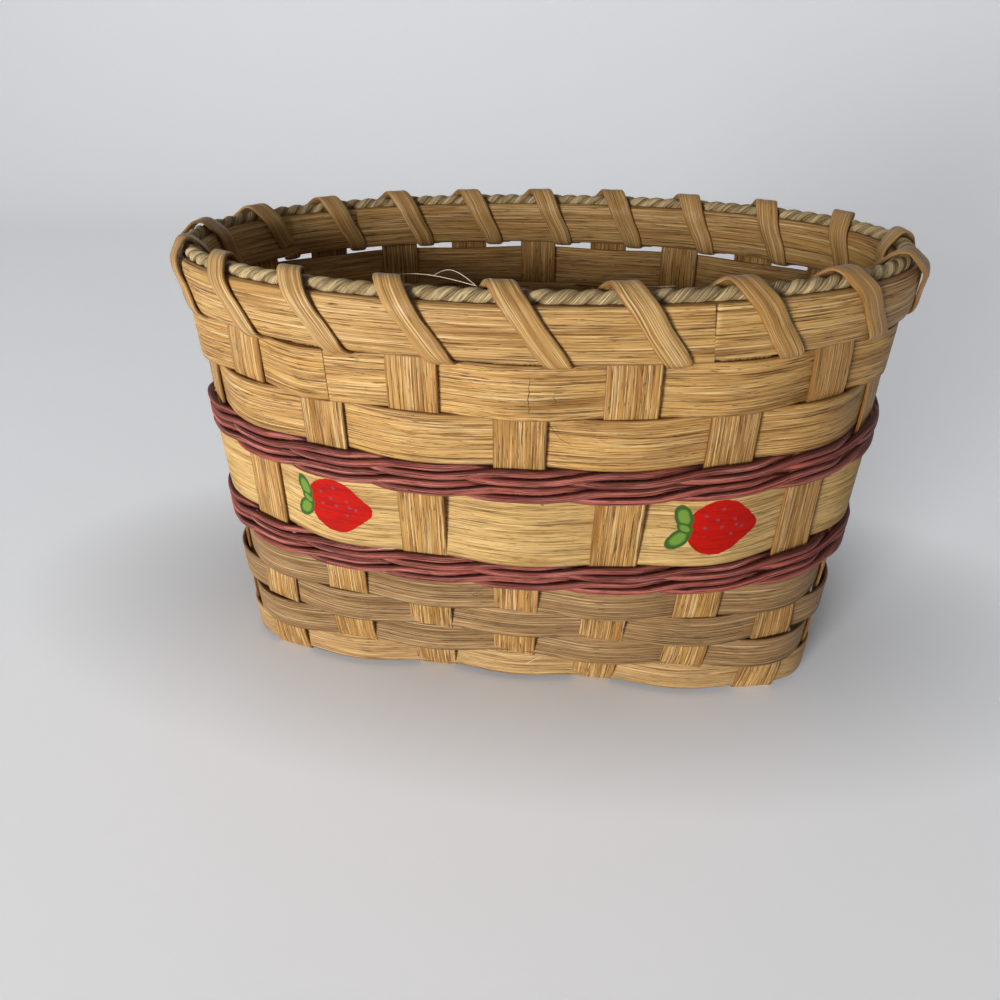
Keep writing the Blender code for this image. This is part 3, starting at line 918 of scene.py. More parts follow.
def seed_share(tree, body, inside):
    """Share of the small dull seeds, spaced out over the upper part of the berry."""
    add = functools.partial(add_node, tree)
    scale = (1 / SEED_CELL[0], 1 / SEED_CELL[1], 0.0)
    cells = add(PLACE, {"Vector": body, "Location": SEED_SHIFT, "Scale": scale}, vector_type="POINT")
    seeds = add(
        "ShaderNodeTexVoronoi", {"Vector": cells, "Scale": 1.0, "Randomness": 0.6}, voronoi_dimensions="2D"
    )
    seeds = add(SPREAD, (seeds, *SEED_RADIUS), clamp=True)
    deep = add(SPREAD, {0: inside, 1: SEED_INSIDE[0], 2: SEED_INSIDE[1], 4: SEED_STRENGTH}, clamp=True)
    height = add(SPLIT, (body,)).outputs[1]
    upper = add(SPREAD, (height, *SEED_LOWEST), clamp=True)
    return add(MATH, (add(MATH, (seeds, deep), operation="MULTIPLY"), upper), operation="MULTIPLY")


def painted_reed(name, colours, berry, pitch):
    """Split rattan core with berries in thick craft paint: flat red and green, duller than bare reed."""
    tones = (tuple(colours.painted), tuple(colours.streak), tuple(colours.pale))
    material, grain, bare, relief = bare_reed(name, tones, 0.0006, 0.040, 0.8)
    tree = material.node_tree
    add = functools.partial(add_node, tree)

    # one berry in every few stakes, its outline a little unsteady as a brush leaves it
    along, across, deep = add(SPLIT, (grain,)).outputs
    half = berry.every * pitch / 2
    shifted = add(MATH, (along, berry.first_stake * pitch), operation="SUBTRACT")
    place = add(MATH, (shifted, half, -half), operation="WRAP")
    level = add(MATH, (across, berry.body_rise), operation="SUBTRACT")
    flat = add("ShaderNodeCombineXYZ", (place, level))
    shaky = add(NOISE, {"Vector": grain, "Scale": 1 / BRUSH_BEND, "Detail": 2.0}).outputs["Color"]
    shaky = add(VECTORS, (shaky, (0.5, 0.5, 0.5)), operation="SUBTRACT")
    flat = add(VECTORS, (flat, add(VECTORS, {0: shaky, "Scale": BRUSH_WANDER}, operation="SCALE")))

    # the red body with brush strokes along the reed and its seeds
    body, inside = berry_share(tree, flat, berry)
    dark_red = darker(colours.berry, STROKE_SHADE)
    strokes = (
        (0.010, 0.0010, 0.46, 0.62, 0.55, dark_red, 0.1),
        (0.004, 0.0003, 0.62, 0.70, 0.5, dark_red, 0.0),
    )
    red, brushed = fibre_layers(tree, grain, tuple(colours.berry), strokes)
    seeds = seed_share(tree, body, inside)
    red = add(MIX, {0: seeds, 6: red, 7: tuple(colours.seed)}, data_type="RGBA")
    paint = add(SPREAD, (inside, 0.0, PAINT_EDGE), clamp=True)
    colour = add(MIX, {0: paint, 6: bare, 7: red}, data_type="RGBA")

    # the green leaves at the stem end, each with a darker outline
    stem = berry.body_place - berry.stem_radius
    greens = {6: tuple(colours.leaf), 7: tuple(colours.leaf_edge)}
    for off, up, turn, size in LEAVES:
        lies = {
            "Location": (stem + off, up, 0.0),
            "Rotation": (0.0, 0.0, math.radians(turn)),
            "Scale": (berry.leaf_length * size, berry.leaf_width * size, 1.0),
        }
        leaf = add(PLACE, {"Vector": flat, **lies}, vector_type="TEXTURE")
        leaf = add(VECTORS, (leaf,), operation="LENGTH")
        rim = add(SPREAD, (leaf, *LEAF_RIM), clamp=True)
        green = add(MIX, {0: rim, **greens}, data_type="RGBA")
        share = add(SPREAD, (leaf, *LEAF_END), clamp=True)
        colour = add(MIX, {0: share, 6: colour, 7: green}, data_type="RGBA")
        paint = add(MATH, (paint, share), operation="MAXIMUM")

    # the paint lies on the outer face alone
    outer = add(MATH, (deep, 0.0), operation="GREATER_THAN")
    paint = add(MATH, (paint, outer), operation="MULTIPLY")
    colour = add(MIX, {0: outer, 6: bare, 7: colour}, data_type="RGBA")

    # the paint fills the fibres, so that they show through only faintly
    filled = add(MATH, (relief, PAINT_RELIEF, brushed), operation="MULTIPLY_ADD")
    relief = add(MIX, {0: paint, 2: relief, 3: filled}, data_type="FLOAT")
    dress_surface(material, colour, relief, PAINT_ROUGH, REED_RELIEF, PAINT_SHINE)
    return material


def row_line(name, reed, pitch):
    """Middle line of a woven row: outside one stake, inside the next, its end lapped over its start."""
    bottom, top = ROWS[name]
    over, start, lap, sag = ROW_PLAN[name]
    number = list(ROW_PLAN).index(name)
    gone = np.arange(round((STAKES + lap) * ROW_STEPS) + 1) / ROW_STEPS
    gone[-1] = STAKES + lap
    places = start + gone
    swing = np.cos(math.pi * (places - over))
    offset = swing * (reed.rim_row_wave if name == "row_rim" else reed.row_wave)
    layer = reed.thickness + reed.lap_gap
    if name != "row_rim":
        below = eased(np.clip((lap + LAP_GROWS - gone) / LAP_GROWS, 0, 1))
        above = eased(np.clip((gone - STAKES + LAP_GROWS) / LAP_GROWS, 0, 1))
        offset = offset + swing * wander(places, number, UNEVEN_ROW_SWING)
        offset = offset - layer * (1 - swing) / 2 * below
        offset = offset + layer * (1 + swing) / 2 * above
    low, facing_low = on_wall(places, bottom)
    high, facing_high = on_wall(places, top)
    facing = unit(facing_low + facing_high)
    middle = (low + high) / 2 + facing * offset[:, None]
    middle[:, 2] += wander(places * 3, number + 5, UNEVEN_ROW_HEIGHT)
    middle[:, 2] -= sag * np.sin(math.pi * places / STAKES) ** 2
    broad = 1 + wander(places * 2, number + 9, UNEVEN_ROW_WIDTH)
    grown = (STAKES + lap - gone) / ROW_END_LENGTH
    outer = np.clip(ROW_END_THIN + (1 - ROW_END_THIN) * grown, 0, 1)
    return spine(middle, facing, high - low, along=places * pitch, outer=outer, broad=broad)


def stake_offsets(stake, heights, reed):
    """How far a stake lies from the middle of the wall at each height."""
    keys = []
    values = []
    for name, span in ROWS.items():
        size = reed.rim_row_wave if name == "row_rim" else reed.stake_wave
        keys += span
        values += [-size if stake % 2 == ROW_PLAN[name][0] else size] * 2
    return np.interp(heights, keys, values)


def wall_line(stake, reed, flip):
    """Points of a stake from its top down to its fold, with the ways it faces and lies."""
    foot = reed.thickness / 2 + reed.fold
    heights = np.append(np.arange(ROWS["row_rim"][1], foot, -WALL_STEP), foot)
    offsets = soften(stake_offsets(stake, heights, reed), WALL_SOFT)
    spots = []
    facings = []
    sides = []
    for height, offset in zip(heights, offsets):
        spot, facing, side = stake_at(stake, round(float(height), 6), reed.stake_width)
        spots.append(spot + facing * offset)
        facings.append(facing)
        sides.append(-side if flip else side)
    spot, facing, side = spots[-1], facings[-1], sides[-1]
    for step in range(1, FOLD_STEPS):
        angle = step / FOLD_STEPS * math.pi / 2
        down = np.array([0, 0, math.sin(angle)])
        spots.append(spot - facing * reed.fold * (1 - math.cos(angle)) - down * reed.fold)
        facings.append(facing * math.cos(angle) - down)
        sides.append(side)
    return spots, facings, sides, spot - facing * reed.fold - np.array([0, 0, reed.fold])


def stake_line(first, second, number, others, axis, reed, start):
    """Middle line of a stake: down one wall, across the base over and under the others, up the far wall."""
    near_spots, near_facings, near_sides, near_end = wall_line(first, reed, False)
    far_spots, far_facings, far_sides, far_end = wall_line(second, reed, True)
    steps = max(int(np.linalg.norm(far_end - near_end) / BASE_STEP), 8)
    shares = np.linspace(0, 1, steps)[:, None]
    across = near_end + (far_end - near_end) * shares
    pitch = pitch_at(reed.thickness / 2 + reed.fold)
    flat = reed.stake_width / 2 + BASE_SPACE
    lift = np.zeros(steps)
    for other in others:
        if (number + other) % 2:
            away = np.abs(across[:, axis] - other * pitch)
            lift = np.maximum(lift, eased(np.clip((pitch - flat - away) / (pitch - 2 * flat), 0, 1)))
    across[:, 2] = reed.thickness / 2 + BASE_CLEAR + lift * (reed.thickness + BASE_LAYER_GAP)
    sides = near_sides[-1] + (far_sides[-1] - near_sides[-1]) * shares
    spots = near_spots + list(across) + far_spots[::-1]
    facings = near_facings + list(-upward(steps)) + far_facings[::-1]
    return spine(spots, facings, near_sides + list(sides) + far_sides[::-1], start=start)


def rod_line(height, strand, reed, start):
    """Middle line of a rod of a twined row: outside two stakes, then inside one."""
    half = reed.stake_width / 2 / pitch_at(height)
    keys = [(ROD_JOINT - ROD_MEET, *ROD_BETWEEN[(strand - 1) % 3])]
    for number in range(STAKES):
        phase = (number + strand) % 3
        place = ROD_JOINT + number
        keys.append((place - half, *ROD_AT_STAKE[phase]))
        keys.append((place + half, *ROD_AT_STAKE[phase]))
        keys.append((place + (ROD_MEET if number == STAKES - 1 else 0.5), *ROD_BETWEEN[phase]))
    keys = np.array(keys)
    places = np.linspace(keys[0, 0], keys[-1, 0], ROD_STEPS * STAKES)
    out = soften(np.interp(places, keys[:, 0], keys[:, 1]), ROD_SOFT_OUT)
    rise = soften(np.interp(places, keys[:, 0], keys[:, 2]), ROD_SOFT_RISE)
    spots, facing = on_wall(places, height)
    spots = spots + facing * (out * reed.rod_offset)[:, None]
    spots[:, 2] += rise * reed.rod_rise + wander(places * 2, strand + height * 90, UNEVEN_ROD_HEIGHT)
    return spine(spots, facing, upward(len(places)), start=start)


def hoop_line(joint, rim, seat, way):
    """Middle line of a hoop whose ends are shaved and lapped, and the layers that each end keeps."""
    lapped = np.linspace(0, HOOP_LAP, HOOP_LAP_STEPS)
    single = np.linspace(HOOP_LAP + HOOP_BODY_GAPS[0], STAKES - HOOP_BODY_GAPS[1], HOOP_STEPS)
    gone = np.concatenate([lapped, single, STAKES + lapped])
    low, grows = HOOP_START_OUTER
    outer = np.ones(len(gone))
    outer[:HOOP_LAP_STEPS] = low + grows * lapped / HOOP_LAP
    blend = np.linspace(HOOP_BLEND_FROM, 1.0, HOOP_BLEND_STEPS)
    outer[HOOP_LAP_STEPS:HOOP_LAP_STEPS + HOOP_BLEND_STEPS] = blend
    low, grows = HOOP_END_INNER
    inner = np.zeros(len(gone))
    blend = np.clip((single - STAKES + HOOP_BLEND_LENGTH) / HOOP_BLEND_LENGTH, 0, 1)
    inner[HOOP_LAP_STEPS:-HOOP_LAP_STEPS] = low * blend
    inner[-HOOP_LAP_STEPS:] = low + grows * lapped / HOOP_LAP
    spots, facing = on_wall(joint - HOOP_LAP + gone, HOOP_MIDDLE)
    spots = spots + facing * (way * seat)
    spots[:, 2] -= rim.hoop_drop
    line = spine(spots, facing * way, upward(len(gone)), inner=inner, outer=outer, start=joint)
    # the end that shows is cut a little off square
    share = np.clip(1 - (gone[-1] - gone) / HOOP_CUT_LENGTH, 0, 1)
    line["side"] = line["side"] - unit(np.gradient(line["spot"], axis=0)) * (HOOP_CUT * share)[:, None]
    return line


def rope_line(rim):
    """Middle line of the rope, closed with a whole number of turns of its lay."""
    places = np.linspace(ROPE_JOINT, ROPE_JOINT + STAKES, ROPE_STEPS)
    spots, facing = on_wall(places, ROPE_HEIGHT)
    spots = spots + facing * ((rim.outer_seat - rim.inner_seat) / 2)
    return spine(spots, facing, upward(len(places)))


def rim_loop(rim, steps):
    """Closed loop round the rim's section, tight under the hoops and a little slack over the rope."""
    points = []
    reach = (rim.ply_offset + rim.ply_radius) * ROPE_PRESSED
    offset = (rim.outer_seat - rim.inner_seat) / 2
    middle = HOOP_MIDDLE - rim.hoop_drop
    for angle in np.linspace(0, 2 * math.pi, LOOP_POINTS, endpoint=False):
        high = math.copysign(math.sqrt(abs(math.cos(angle))), math.cos(angle)) * rim.hoop_width / 2
        thick = math.sqrt(max(math.sin(angle), 0)) * rim.hoop_thickness
        points.append((rim.outer_seat + thick, middle + high))
        points.append((-rim.inner_seat - thick, middle + high))
        points.append((offset + reach * math.sin(angle), ROPE_HEIGHT + reach * math.cos(angle)))
    spare = rim.lashing_gap + rim.lashing_back
    grown = [
        Vector((across + spare * math.cos(angle), height + spare * math.sin(angle)))
        for across, height in points
        for angle in np.linspace(0, 2 * math.pi, LOOP_CORNERS, endpoint=False)
    ]
    hull = np.array([grown[i][:] for i in convex_hull_2d(grown)])
    angles = np.degrees(np.arctan2(hull[:, 0] - offset, hull[:, 1] - middle)) % 360
    order = np.argsort(angles)
    order = np.concatenate([order[-1:], order, order[:1]])
    hull = hull[order]
    angles = angles[order]
    angles[0] -= 360
    angles[-1] += 360
    run = run_of(hull)
    top = np.interp(0.0, angles, run)
    whole = np.interp(360.0, angles, run) - top
    wanted = top + whole * np.arange(steps) / steps
    return [np.interp(wanted, run, values) for values in (hull[:, 0], hull[:, 1], angles)]


def lashing_line(rim):
    """Middle line of the lashing: one turn round the rim in every space between stakes."""
    across, height, turn = rim_loop(rim, LASHING_STEPS)
    drift = np.interp(turn, LASHING_TURN, LASHING_DRIFT)
    slack = np.maximum(np.cos(np.radians(turn)), 0) ** SLACK_FADE
    broad = 1 + SLACK_BROADER * slack
    for share, middle, span in LASHING_BROADER:
        broad = broad + share * np.exp(-((turn - middle) / span) ** 2)
    count = STAKES + 1
    drift = soften(np.concatenate([drift + lap for lap in range(count)]), LASHING_SOFT_DRIFT)
    size, rate, begin = SLACK_VARIES
    loose = [rim.lashing_rise * (1 + size * math.sin(rate * lap + begin)) for lap in range(count)]
    slack = np.concatenate([slack * rise for rise in loose])
    sine = np.tile(np.sin(np.radians(turn)), count)
    cosine = np.tile(np.cos(np.radians(turn)), count)
    across = soften(np.tile(across, count) + slack * sine * SLACK_OUT, LASHING_SOFT)
    height = soften(np.tile(height, count) + slack * cosine, LASHING_SOFT)
    places = LASHING_PLACE + drift - LASHING_DIP + LASHING_SHIFT / pitch_at(HOOP_MIDDLE)
    at_back = np.sin(math.pi * places / STAKES) ** 2
    places = places + LASHING_BACK_SHIFT * at_back
    uneven = 1 + wander(places * 2, LASHING_SEED, UNEVEN_LASHING_WIDTH)
    broad = np.tile(broad, count) * (1 + LASHING_BACK_BROADER * at_back) * uneven
    first = int(LASHING_STEPS * LASHING_START)
    last = first + LASHING_STEPS * STAKES - int(LASHING_STEPS * LASHING_SHORT)
    spots = []
    facings = []
    for i in range(first, last):
        spot, outward = on_wall(places[i], round(float(height[i]), 6))
        spots.append(spot[0] + outward[0] * across[i])
        run = across[i + 1] - across[i - 1]
        rise = height[i + 1] - height[i - 1]
        facings.append(run * np.array([0, 0, 1.0]) - rise * outward[0])
    facings = unit(np.array(facings))
    ahead = np.gradient(np.array(spots), axis=0)
    return spine(spots, facings, np.cross(facings, ahead), start=3.0, broad=broad[first:last])


def fibre_line(rim, stake, offset, way, length, bow, number):
    """A loose fibre that springs from the rim in a shallow bow."""
    shares = np.linspace(0, 1, FIBRE_STEPS)
    places = stake + way * shares * length / pitch_at(HOOP_MIDDLE)
    spots, facing = on_wall(places, HOOP_TOP)
    spots[:, 2] = ROPE_HEIGHT + rim.ply_radius + bow * np.sin(math.pi * shares * FIBRE_BOW)
    spots = spots + facing * (offset + wander(shares * FIBRE_RATE, number, UNEVEN_FIBRE))[:, None]
    return spine(spots, facing, upward(len(shares)), broad=1 - FIBRE_TAPER * shares)


def splinter_line(start, end, bow, lift):
    """A splinter that stands off the wall, from one place to another, each in stakes and metres up."""
    shares = np.linspace(0, 1, SPLINTER_STEPS)
    spots = []
    facings = []
    for share in shares:
        stake, height = (1 - share) * np.array(start) + share * np.array(end)
        spot, facing = on_wall(stake, height + bow * math.sin(math.pi * share))
        spots.append(spot[0] + facing[0] * lift)
        facings.append(facing[0])
    return spine(spots, facings, upward(len(shares)), broad=1 - FIBRE_TAPER * shares)


class BASKET_OT_stakes(bpy.types.Operator):
    """Make the ten stakes that go down one wall, across the base and up the other"""

    bl_idname = "basket.stakes"
    bl_label = "Stakes"

    def execute(self, context):
        reed = context.scene.basket_reed
        # split rattan core from the outer part of the cane: coarse dark bundles run up it
        finish = split_reed(
            "Split Reed, stakes",
            context.scene.basket_colours,
            ("stake", "streak", "pale"),
            fibre=0.0009,
            deep=1.15,
        )
        sizes = flat_reed(reed.stake_width, reed.thickness)
        middle = STAKES_LONG_SIDE // 2
        side = STAKES_SHORT_SIDE // 2
        cross = range(-middle, middle + 1)
        long = range(-side, side + 1)
        for number in cross:
            name = "stake_cross_%d" % (number + middle + 1)
            line = stake_line(number, STAKES // 2 - number, number, long, 1, reed, 10.0 + number)
            grow(context, name + "_reed", [line], sizes, finish, "stake_reed", name)
        for number in long:
            name = "stake_long_%d" % (number + side + 1)
            right = STAKES // 4 + number
            line = stake_line(STAKES - right, right, number + 1, cross, 0, reed, 20.0 + number)
            grow(context, name + "_reed", [line], sizes, finish, "stake_reed", name)
        return {"FINISHED"}


class BASKET_OT_rows(bpy.types.Operator):
    """Make the woven rows: pale and smoked ones at the foot, natural ones above"""

    bl_idname = "basket.rows"
    bl_label = "Woven Rows"

    def execute(self, context):
        reed = context.scene.basket_reed
        colours = context.scene.basket_colours
        golden = ("natural", "streak", "pale")
        # split rattan core, oiled: golden with fine brown fibres
        natural = split_reed("Split Reed, natural", colours, golden)
        # the same reed in the upper row, bent dry: two short dark cracks cross its fibres at the front
        cracked = split_reed("Split Reed, natural, cracked", colours, golden, cracks=CRACKS)
        # the same reed before oiling, from a paler cane: fewer dark fibres
        foot = split_reed("Split Reed, foot row", colours, ("foot", "streak", "pale"), deep=0.8)
        # split rattan core, smoked: grey brown and dull, with long pale fibres
        smoked = split_reed(
            "Split Reed, smoked",
            colours,
            ("smoked", "smoked_streak", "smoked_pale"),
            fibre=0.0006,
            length=0.060,
        )
        plan = {
            "row_1": (foot, "pale_reed"),
            "row_2": (smoked, "smoked_reed"),
            "row_3": (smoked, "smoked_reed"),
            "row_4": (smoked, "smoked_reed"),
            "row_5": (natural, "natural_reed"),
            "row_6": (cracked, "natural_reed"),
            "row_rim": (natural, "natural_reed"),
        }
        for name, (finish, slot) in plan.items():
            bottom, top = ROWS[name]
            sizes = flat_reed(top - bottom + reed.row_fill, reed.thickness)
            line = row_line(name, reed, pitch_at((bottom + top) / 2))
            grow(context, name + "_reed", [line], sizes, finish, slot, name)
        return {"FINISHED"}


class BASKET_OT_painted_row(bpy.types.Operator):
    """Make the broad row in the middle with its painted berries"""

    bl_idname = "basket.painted_row"
    bl_label = "Painted Row"

    def execute(self, context):
        scene = context.scene
        reed = scene.basket_reed
        bottom, top = ROWS["row_painted"]
        pitch = pitch_at((bottom + top) / 2)
        finish = painted_reed("Split Reed, painted", scene.basket_colours, scene.basket_berry, pitch)
        sizes = flat_reed(top - bottom + reed.row_fill, reed.thickness)
        line = row_line("row_painted", reed, pitch)
        grow(context, "row_painted_reed", [line], sizes, finish, "painted_reed", "row_painted")
        return {"FINISHED"}


class BASKET_OT_twined_bands(bpy.types.Operator):
    """Make the two bands of dyed rods twined round the stakes"""

    bl_idname = "basket.twined_bands"
    bl_label = "Twined Bands"

    def execute(self, context):
        reed = context.scene.basket_reed
        # round rattan core dyed wine red: the dye takes unevenly, so paler fibres run along each rod
        finish = split_reed(
            "Dyed Round Reed",
            context.scene.basket_colours,
            ("dye", "dye_streak", "dye_pale"),
            fibre=0.0005,
            length=0.040,
            deep=1.4,
            # the rods' flanks darken strongly: painted shade in the gaps between the rods
            edge_stain_and_shade_from=0.62,
            edge_stain_and_shade_deep=0.95,
        )
        sizes = round_rod(reed.rod_radius)
        for band in ("twine_lower", "twine_upper"):
            for row in (1, 4):
                names = ["%s_%d" % (band, row + strand) for strand in range(3)]
                boxes = [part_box(name) for name in names]
                height = (min(low.z for low, _ in boxes) + max(high.z for _, high in boxes)) / 2
                for strand, name in enumerate(names):
                    line = rod_line(round(height, 6), strand, reed, 29.0 + row + strand)
                    grow(context, name + "_rod", [line], sizes, finish, "dyed_rod", name)
        return {"FINISHED"}


class BASKET_OT_rim_hoops(bpy.types.Operator):
    """Make the outer and the inner hoop of the rim"""

    bl_idname = "basket.rim_hoops"
    bl_label = "Rim Hoops"

    def execute(self, context):
        rim = context.scene.basket_rim
        # flat oval reed, shaved flat on one face and rounded on the other: thick strands and a satin shine
        finish = split_reed(
            "Flat Oval Reed, hoops",
            context.scene.basket_colours,
            ("hoop", "streak", "pale"),
            fibre=0.00075,
            length=0.060,
        )
        sizes = section(rim.hoop_width, rim.hoop_thickness, 0.0, 24, (0.50, 1.0, 0.50))
        outer = hoop_line(HOOP_JOINTS[0], rim, rim.outer_seat, 1)
        inner = hoop_line(HOOP_JOINTS[1], rim, rim.inner_seat, -1)
        for name, line in (("rim_hoop_outer", outer), ("rim_hoop_inner", inner)):
            grow(context, name + "_reed", [line], sizes, finish, "rim_reed", name)
        return {"FINISHED"}


class BASKET_OT_rim_rope(bpy.types.Operator):
    """Make the grass rope that lies on top between the hoops"""

    bl_idname = "basket.rim_rope"
    bl_label = "Rim Rope"

    def execute(self, context):
        rim = context.scene.basket_rim
        # twisted dry sea grass: flat folded blades with paler and browner fibres; the flanks where the
        # strands press together are darkened, a painted shade
        finish = split_reed(
            "Twisted Sea Grass",
            context.scene.basket_colours,
            ("grass", "grass_streak", "grass_pale"),
            fibre=0.0006,
            length=0.014,
            depth=0.00025,
            rough=(0.80, 0.60),
            edge_stain_and_shade_from=0.91,
            edge_stain_and_shade_deep=0.95,
        )
        line = rope_line(rim)
        whole = line["along"][-1]
        sizes = round_rod(rim.ply_radius, 12)
        sizes["Plies"] = rim.plies
        sizes["Lay"] = whole / round(whole / rim.rope_lay)
        sizes["Ply Offset"] = rim.ply_offset
        grow(context, "rim_rope_plies", [line], sizes, finish, "sea_rope", "rim_rope", tree=rope_tree())
        return {"FINISHED"}


class BASKET_OT_lashing(bpy.types.Operator):
    """Make the strand that is wound round hoops and rope"""

    bl_idname = "basket.lashing"
    bl_label = "Lashing"

    def execute(self, context):
        rim = context.scene.basket_rim
        # flat oval reed with its smooth rounded face outwards: few fibres and a clear satin shine
        finish = split_reed(
            "Flat Oval Reed, lashing",
            context.scene.basket_colours,
            ("lashing", "streak", "pale"),
            fibre=0.00055,
            length=0.060,
            deep=0.75,
            depth=0.00010,
            rough=(0.52, 0.34),
        )
        sizes = section(rim.lashing_width, rim.lashing_front, rim.lashing_back, 18, (0.75, 0.40, 0.70))
        line = lashing_line(rim)
        grow(context, "rim_lashing_strand", [line], sizes, finish, "lashing_reed", "rim_lashing")
        return {"FINISHED"}


class BASKET_OT_loose_fibres(bpy.types.Operator):
    """Make the few loose fibres that spring from the rim and the splinters on the wall"""

    bl_idname = "basket.loose_fibres"
    bl_label = "Loose Fibres"

    def execute(self, context):
        rim = context.scene.basket_rim
        colours = context.scene.basket_colours
        # single fibres torn off the reed, pale in themselves and painted nearly white: a painted highlight
        # for the light that comes through them
        pale = split_reed("Loose Reed Fibre", colours, ("loose", "pale", "loose"), depth=0.00001)
        # fibres from the dark outer skin of the cane
        dark = split_reed(
            "Loose Reed Fibre, dark", colours, ("streak", "streak", "natural"), depth=0.00001
        )
        sizes = round_rod(rim.fibre_radius, 6)
        for name, lines, finish in (
            ("rim_loose_fibres", [fibre_line(rim, *fibre) for fibre in RIM_FIBRES], pale),
            ("wall_splinters_pale", [splinter_line(*splinter) for splinter in PALE_SPLINTERS], pale),
            ("wall_splinters_dark", [splinter_line(*splinter) for splinter in DARK_SPLINTERS], dark),
        ):
            grow(context, name, lines, sizes, finish, "lashing_reed")
        return {"FINISHED"}


class BASKET_OT_stage(bpy.types.Operator):
    """Make the floor, the backdrop, the light and the camera"""

    bl_idname = "basket.stage"
    bl_label = "Stage"

    def execute(self, context):
        self.make_sheet(context)
        self.make_light(context)
        self.make_camera(context)
        context.scene.view_settings.view_transform = "Standard"
        return {"FINISHED"}

    def add_object(self, context, name, data):
        """New object in the scene."""
        holder = bpy.data.objects.new(name, data)
        context.scene.collection.objects.link(holder)
        return holder

    def make_sheet(self, context):
        """Floor that curves up into the backdrop."""
        profile = [(-STAGE_HALF, 0.0), (STAGE_CURVE_FROM, 0.0)]
        for step in range(1, STAGE_CURVE_STEPS + 1):
            angle = step / STAGE_CURVE_STEPS * math.pi / 2
            y = STAGE_CURVE_FROM + STAGE_CURVE * math.sin(angle)
            profile.append((y, STAGE_CURVE - STAGE_CURVE * math.cos(angle)))
        profile.append((STAGE_CURVE_FROM + STAGE_CURVE, STAGE_HEIGHT))
        corners = [(x, y, z) for y, z in profile for x in (-STAGE_HALF, STAGE_HALF)]
        faces = [(2 * i, 2 * i + 1, 2 * i + 3, 2 * i + 2) for i in range(len(profile) - 1)]
        mesh = bpy.data.meshes.new("stage_sheet")
        mesh.from_pydata(corners, [], faces)
        mesh.shade_smooth()
        # seamless background paper, pressed smooth: dull and even, with no pattern to see
        material = bpy.data.materials.new("Paper Backdrop")
        material.use_nodes = True
        tree = material.node_tree
        pale = tuple(context.scene.basket_colours.stage)
        looks = {"Base Color": pale, "Emission Color": pale, "Roughness": 0.9}
        looks["Emission Strength"] = self.glow_with_painted_shadow(tree)
        fill_inputs(tree, tree.nodes["Principled BSDF"], looks)
        mesh.materials.append(material)
        self.add_object(context, "stage_sheet", mesh)

    def seen_share(self, tree):
        """1 for rays that show a surface to the eye, straight or in a reflection, and 0 for its light."""
        rays = add_node(tree, "ShaderNodeLightPath").outputs
        seen = add_node(tree, MATH, (rays["Is Camera Ray"], rays["Is Glossy Ray"]), operation="MAXIMUM")
        return add_node(tree, MATH, (seen, rays["Is Transmission Ray"]), operation="MAXIMUM")

    def glow_with_painted_shadow(self, tree):
        """Glow that the eye alone sees, fading out under and round the basket: the sheet keeps its real
        shadow there, and the fade paints a darker ring of shadow round it.
        """
        seen = self.seen_share(tree)
        spot = add_node(tree, "ShaderNodeTexCoord").outputs["Object"]
        scale = (1 / HALF_LENGTHS[0], 1 / HALF_DEPTHS[0], 1.0)
        spot = add_node(tree, PLACE, {"Vector": spot, "Scale": scale}, vector_type="POINT")
        away = add_node(tree, VECTORS, (spot,), operation="LENGTH")
        ends = {1: STAGE_GLOW_FROM, 2: STAGE_GLOW_FULL, 4: STAGE_GLOW}
        glow = add_node(tree, SPREAD, {0: away, **ends}, clamp=True)
        return add_node(tree, MATH, (glow, seen), operation="MULTIPLY")

    def make_light(self, context):
        """Soft light from low on the front left and an even sky."""
        lamp = bpy.data.lights.new("key_lamp", "AREA")
        lamp.size = KEY_SIZE
        lamp.energy = KEY_POWER
        holder = self.add_object(context, "key_lamp", lamp)
        holder.location = KEY_PLACE
        holder.rotation_euler = (Vector(KEY_AIM) - Vector(KEY_PLACE)).to_track_quat("-Z", "Y").to_euler()
        world = bpy.data.worlds.new("Studio")
        world.use_nodes = True
        tree = world.node_tree
        strength = add_node(tree, SPREAD, {0: self.seen_share(tree), 3: SKY_LIGHT, 4: SKY_SEEN})
        fill_inputs(tree, tree.nodes["Background"], {"Color": SKY_COLOUR, "Strength": strength})
        context.scene.world = world

    def make_camera(self, context):
        """Camera at the photograph's viewpoint and angle of view."""
        camera = bpy.data.cameras.new("photo_camera")
        camera.sensor_width = SENSOR_WIDTH
        camera.lens = VIEW_PIXELS / FRAME_PIXELS * SENSOR_WIDTH
        camera.clip_start = 0.01
        holder = self.add_object(context, "photo_camera", camera)
        forward = Vector((
            math.sin(CAMERA_YAW) * math.cos(CAMERA_PITCH),
            math.cos(CAMERA_YAW) * math.cos(CAMERA_PITCH),
            -math.sin(CAMERA_PITCH),
        ))
        level = Vector((math.cos(CAMERA_YAW), -math.sin(CAMERA_YAW), 0.0))
        above = level.cross(forward)
        right = math.cos(CAMERA_ROLL) * level + math.sin(CAMERA_ROLL) * above
        up = -math.sin(CAMERA_ROLL) * level + math.cos(CAMERA_ROLL) * above
        turn = Matrix((right, up, -forward)).transposed().to_4x4()
        holder.matrix_world = Matrix.Translation(CAMERA_PLACE) @ turn
        context.scene.camera = holder


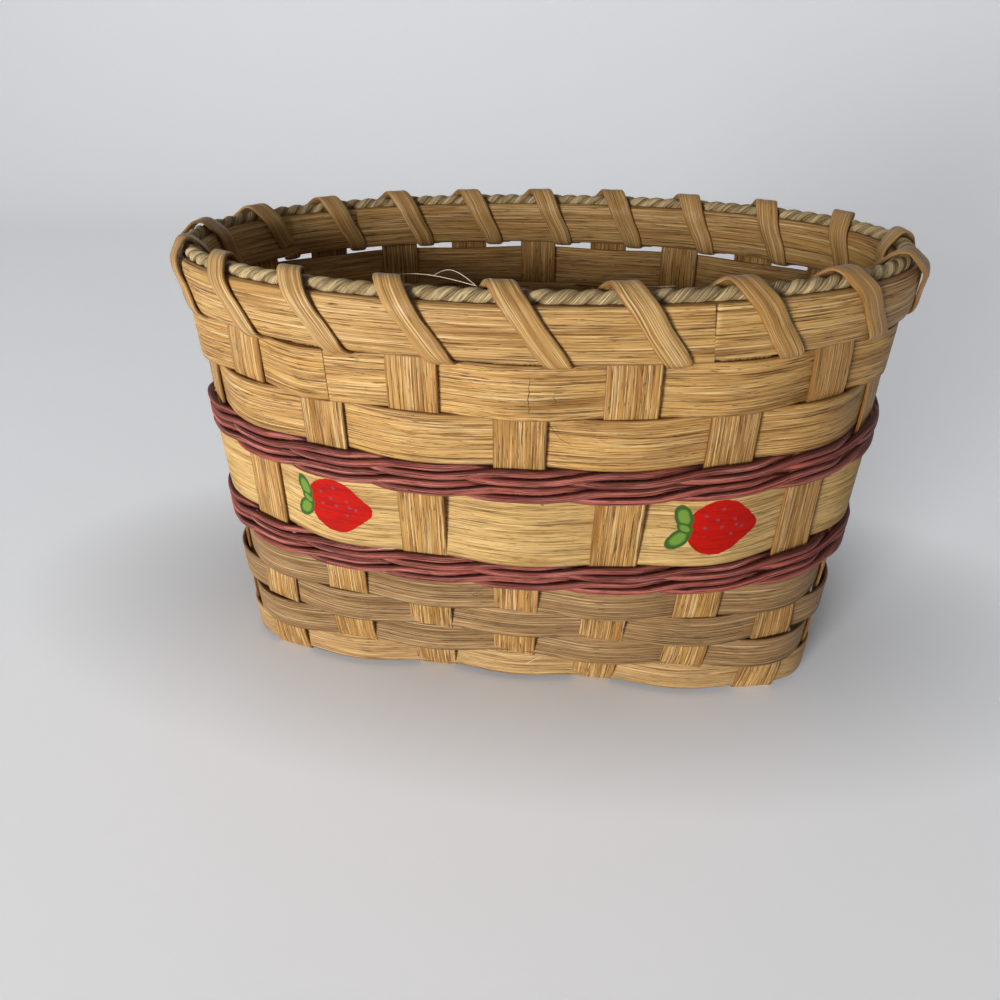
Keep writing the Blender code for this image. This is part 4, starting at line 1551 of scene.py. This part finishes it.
class BASKET_PT_panel(bpy.types.Panel):
    """Sizes, colours and pieces of the basket"""

    bl_idname = "BASKET_PT_panel"
    bl_label = "Berry Basket"
    bl_space_type = "VIEW_3D"
    bl_region_type = "UI"
    bl_category = "Basket"

    def draw(self, context):
        layout = self.layout
        for holder in ("basket_reed", "basket_rim", "basket_berry", "basket_colours"):
            box = layout.box()
            group = getattr(context.scene, holder)
            for field in group.bl_rna.properties:
                if field.identifier not in {"rna_type", "name"}:
                    box.prop(group, field.identifier)
        for operator in OPERATORS:
            layout.operator(operator.bl_idname)


GROUPS = (
    ("basket_reed", BasketReed),
    ("basket_rim", BasketRim),
    ("basket_berry", BasketBerry),
    ("basket_colours", BasketColours),
)
OPERATORS = (
    BASKET_OT_stakes,
    BASKET_OT_rows,
    BASKET_OT_painted_row,
    BASKET_OT_twined_bands,
    BASKET_OT_rim_hoops,
    BASKET_OT_rim_rope,
    BASKET_OT_lashing,
    BASKET_OT_loose_fibres,
    BASKET_OT_stage,
)


def register():
    """Registers the basket's settings, operators and panel."""
    for holder, group in GROUPS:
        bpy.utils.register_class(group)
        setattr(bpy.types.Scene, holder, bpy.props.PointerProperty(type=group))
    for operator in OPERATORS:
        bpy.utils.register_class(operator)
    bpy.utils.register_class(BASKET_PT_panel)


def unregister():
    """Takes the panel, operators and settings away again."""
    bpy.utils.unregister_class(BASKET_PT_panel)
    for operator in reversed(OPERATORS):
        bpy.utils.unregister_class(operator)
    for holder, group in reversed(GROUPS):
        delattr(bpy.types.Scene, holder)
        bpy.utils.unregister_class(group)


def main():
    """Makes every piece in order."""
    register()
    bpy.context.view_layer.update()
    bpy.ops.basket.stakes()
    bpy.ops.basket.rows()
    bpy.ops.basket.painted_row()
    bpy.ops.basket.twined_bands()
    bpy.ops.basket.rim_hoops()
    bpy.ops.basket.rim_rope()
    bpy.ops.basket.lashing()
    bpy.ops.basket.loose_fibres()
    bpy.ops.basket.stage()


if __name__ == "__main__":
    main()
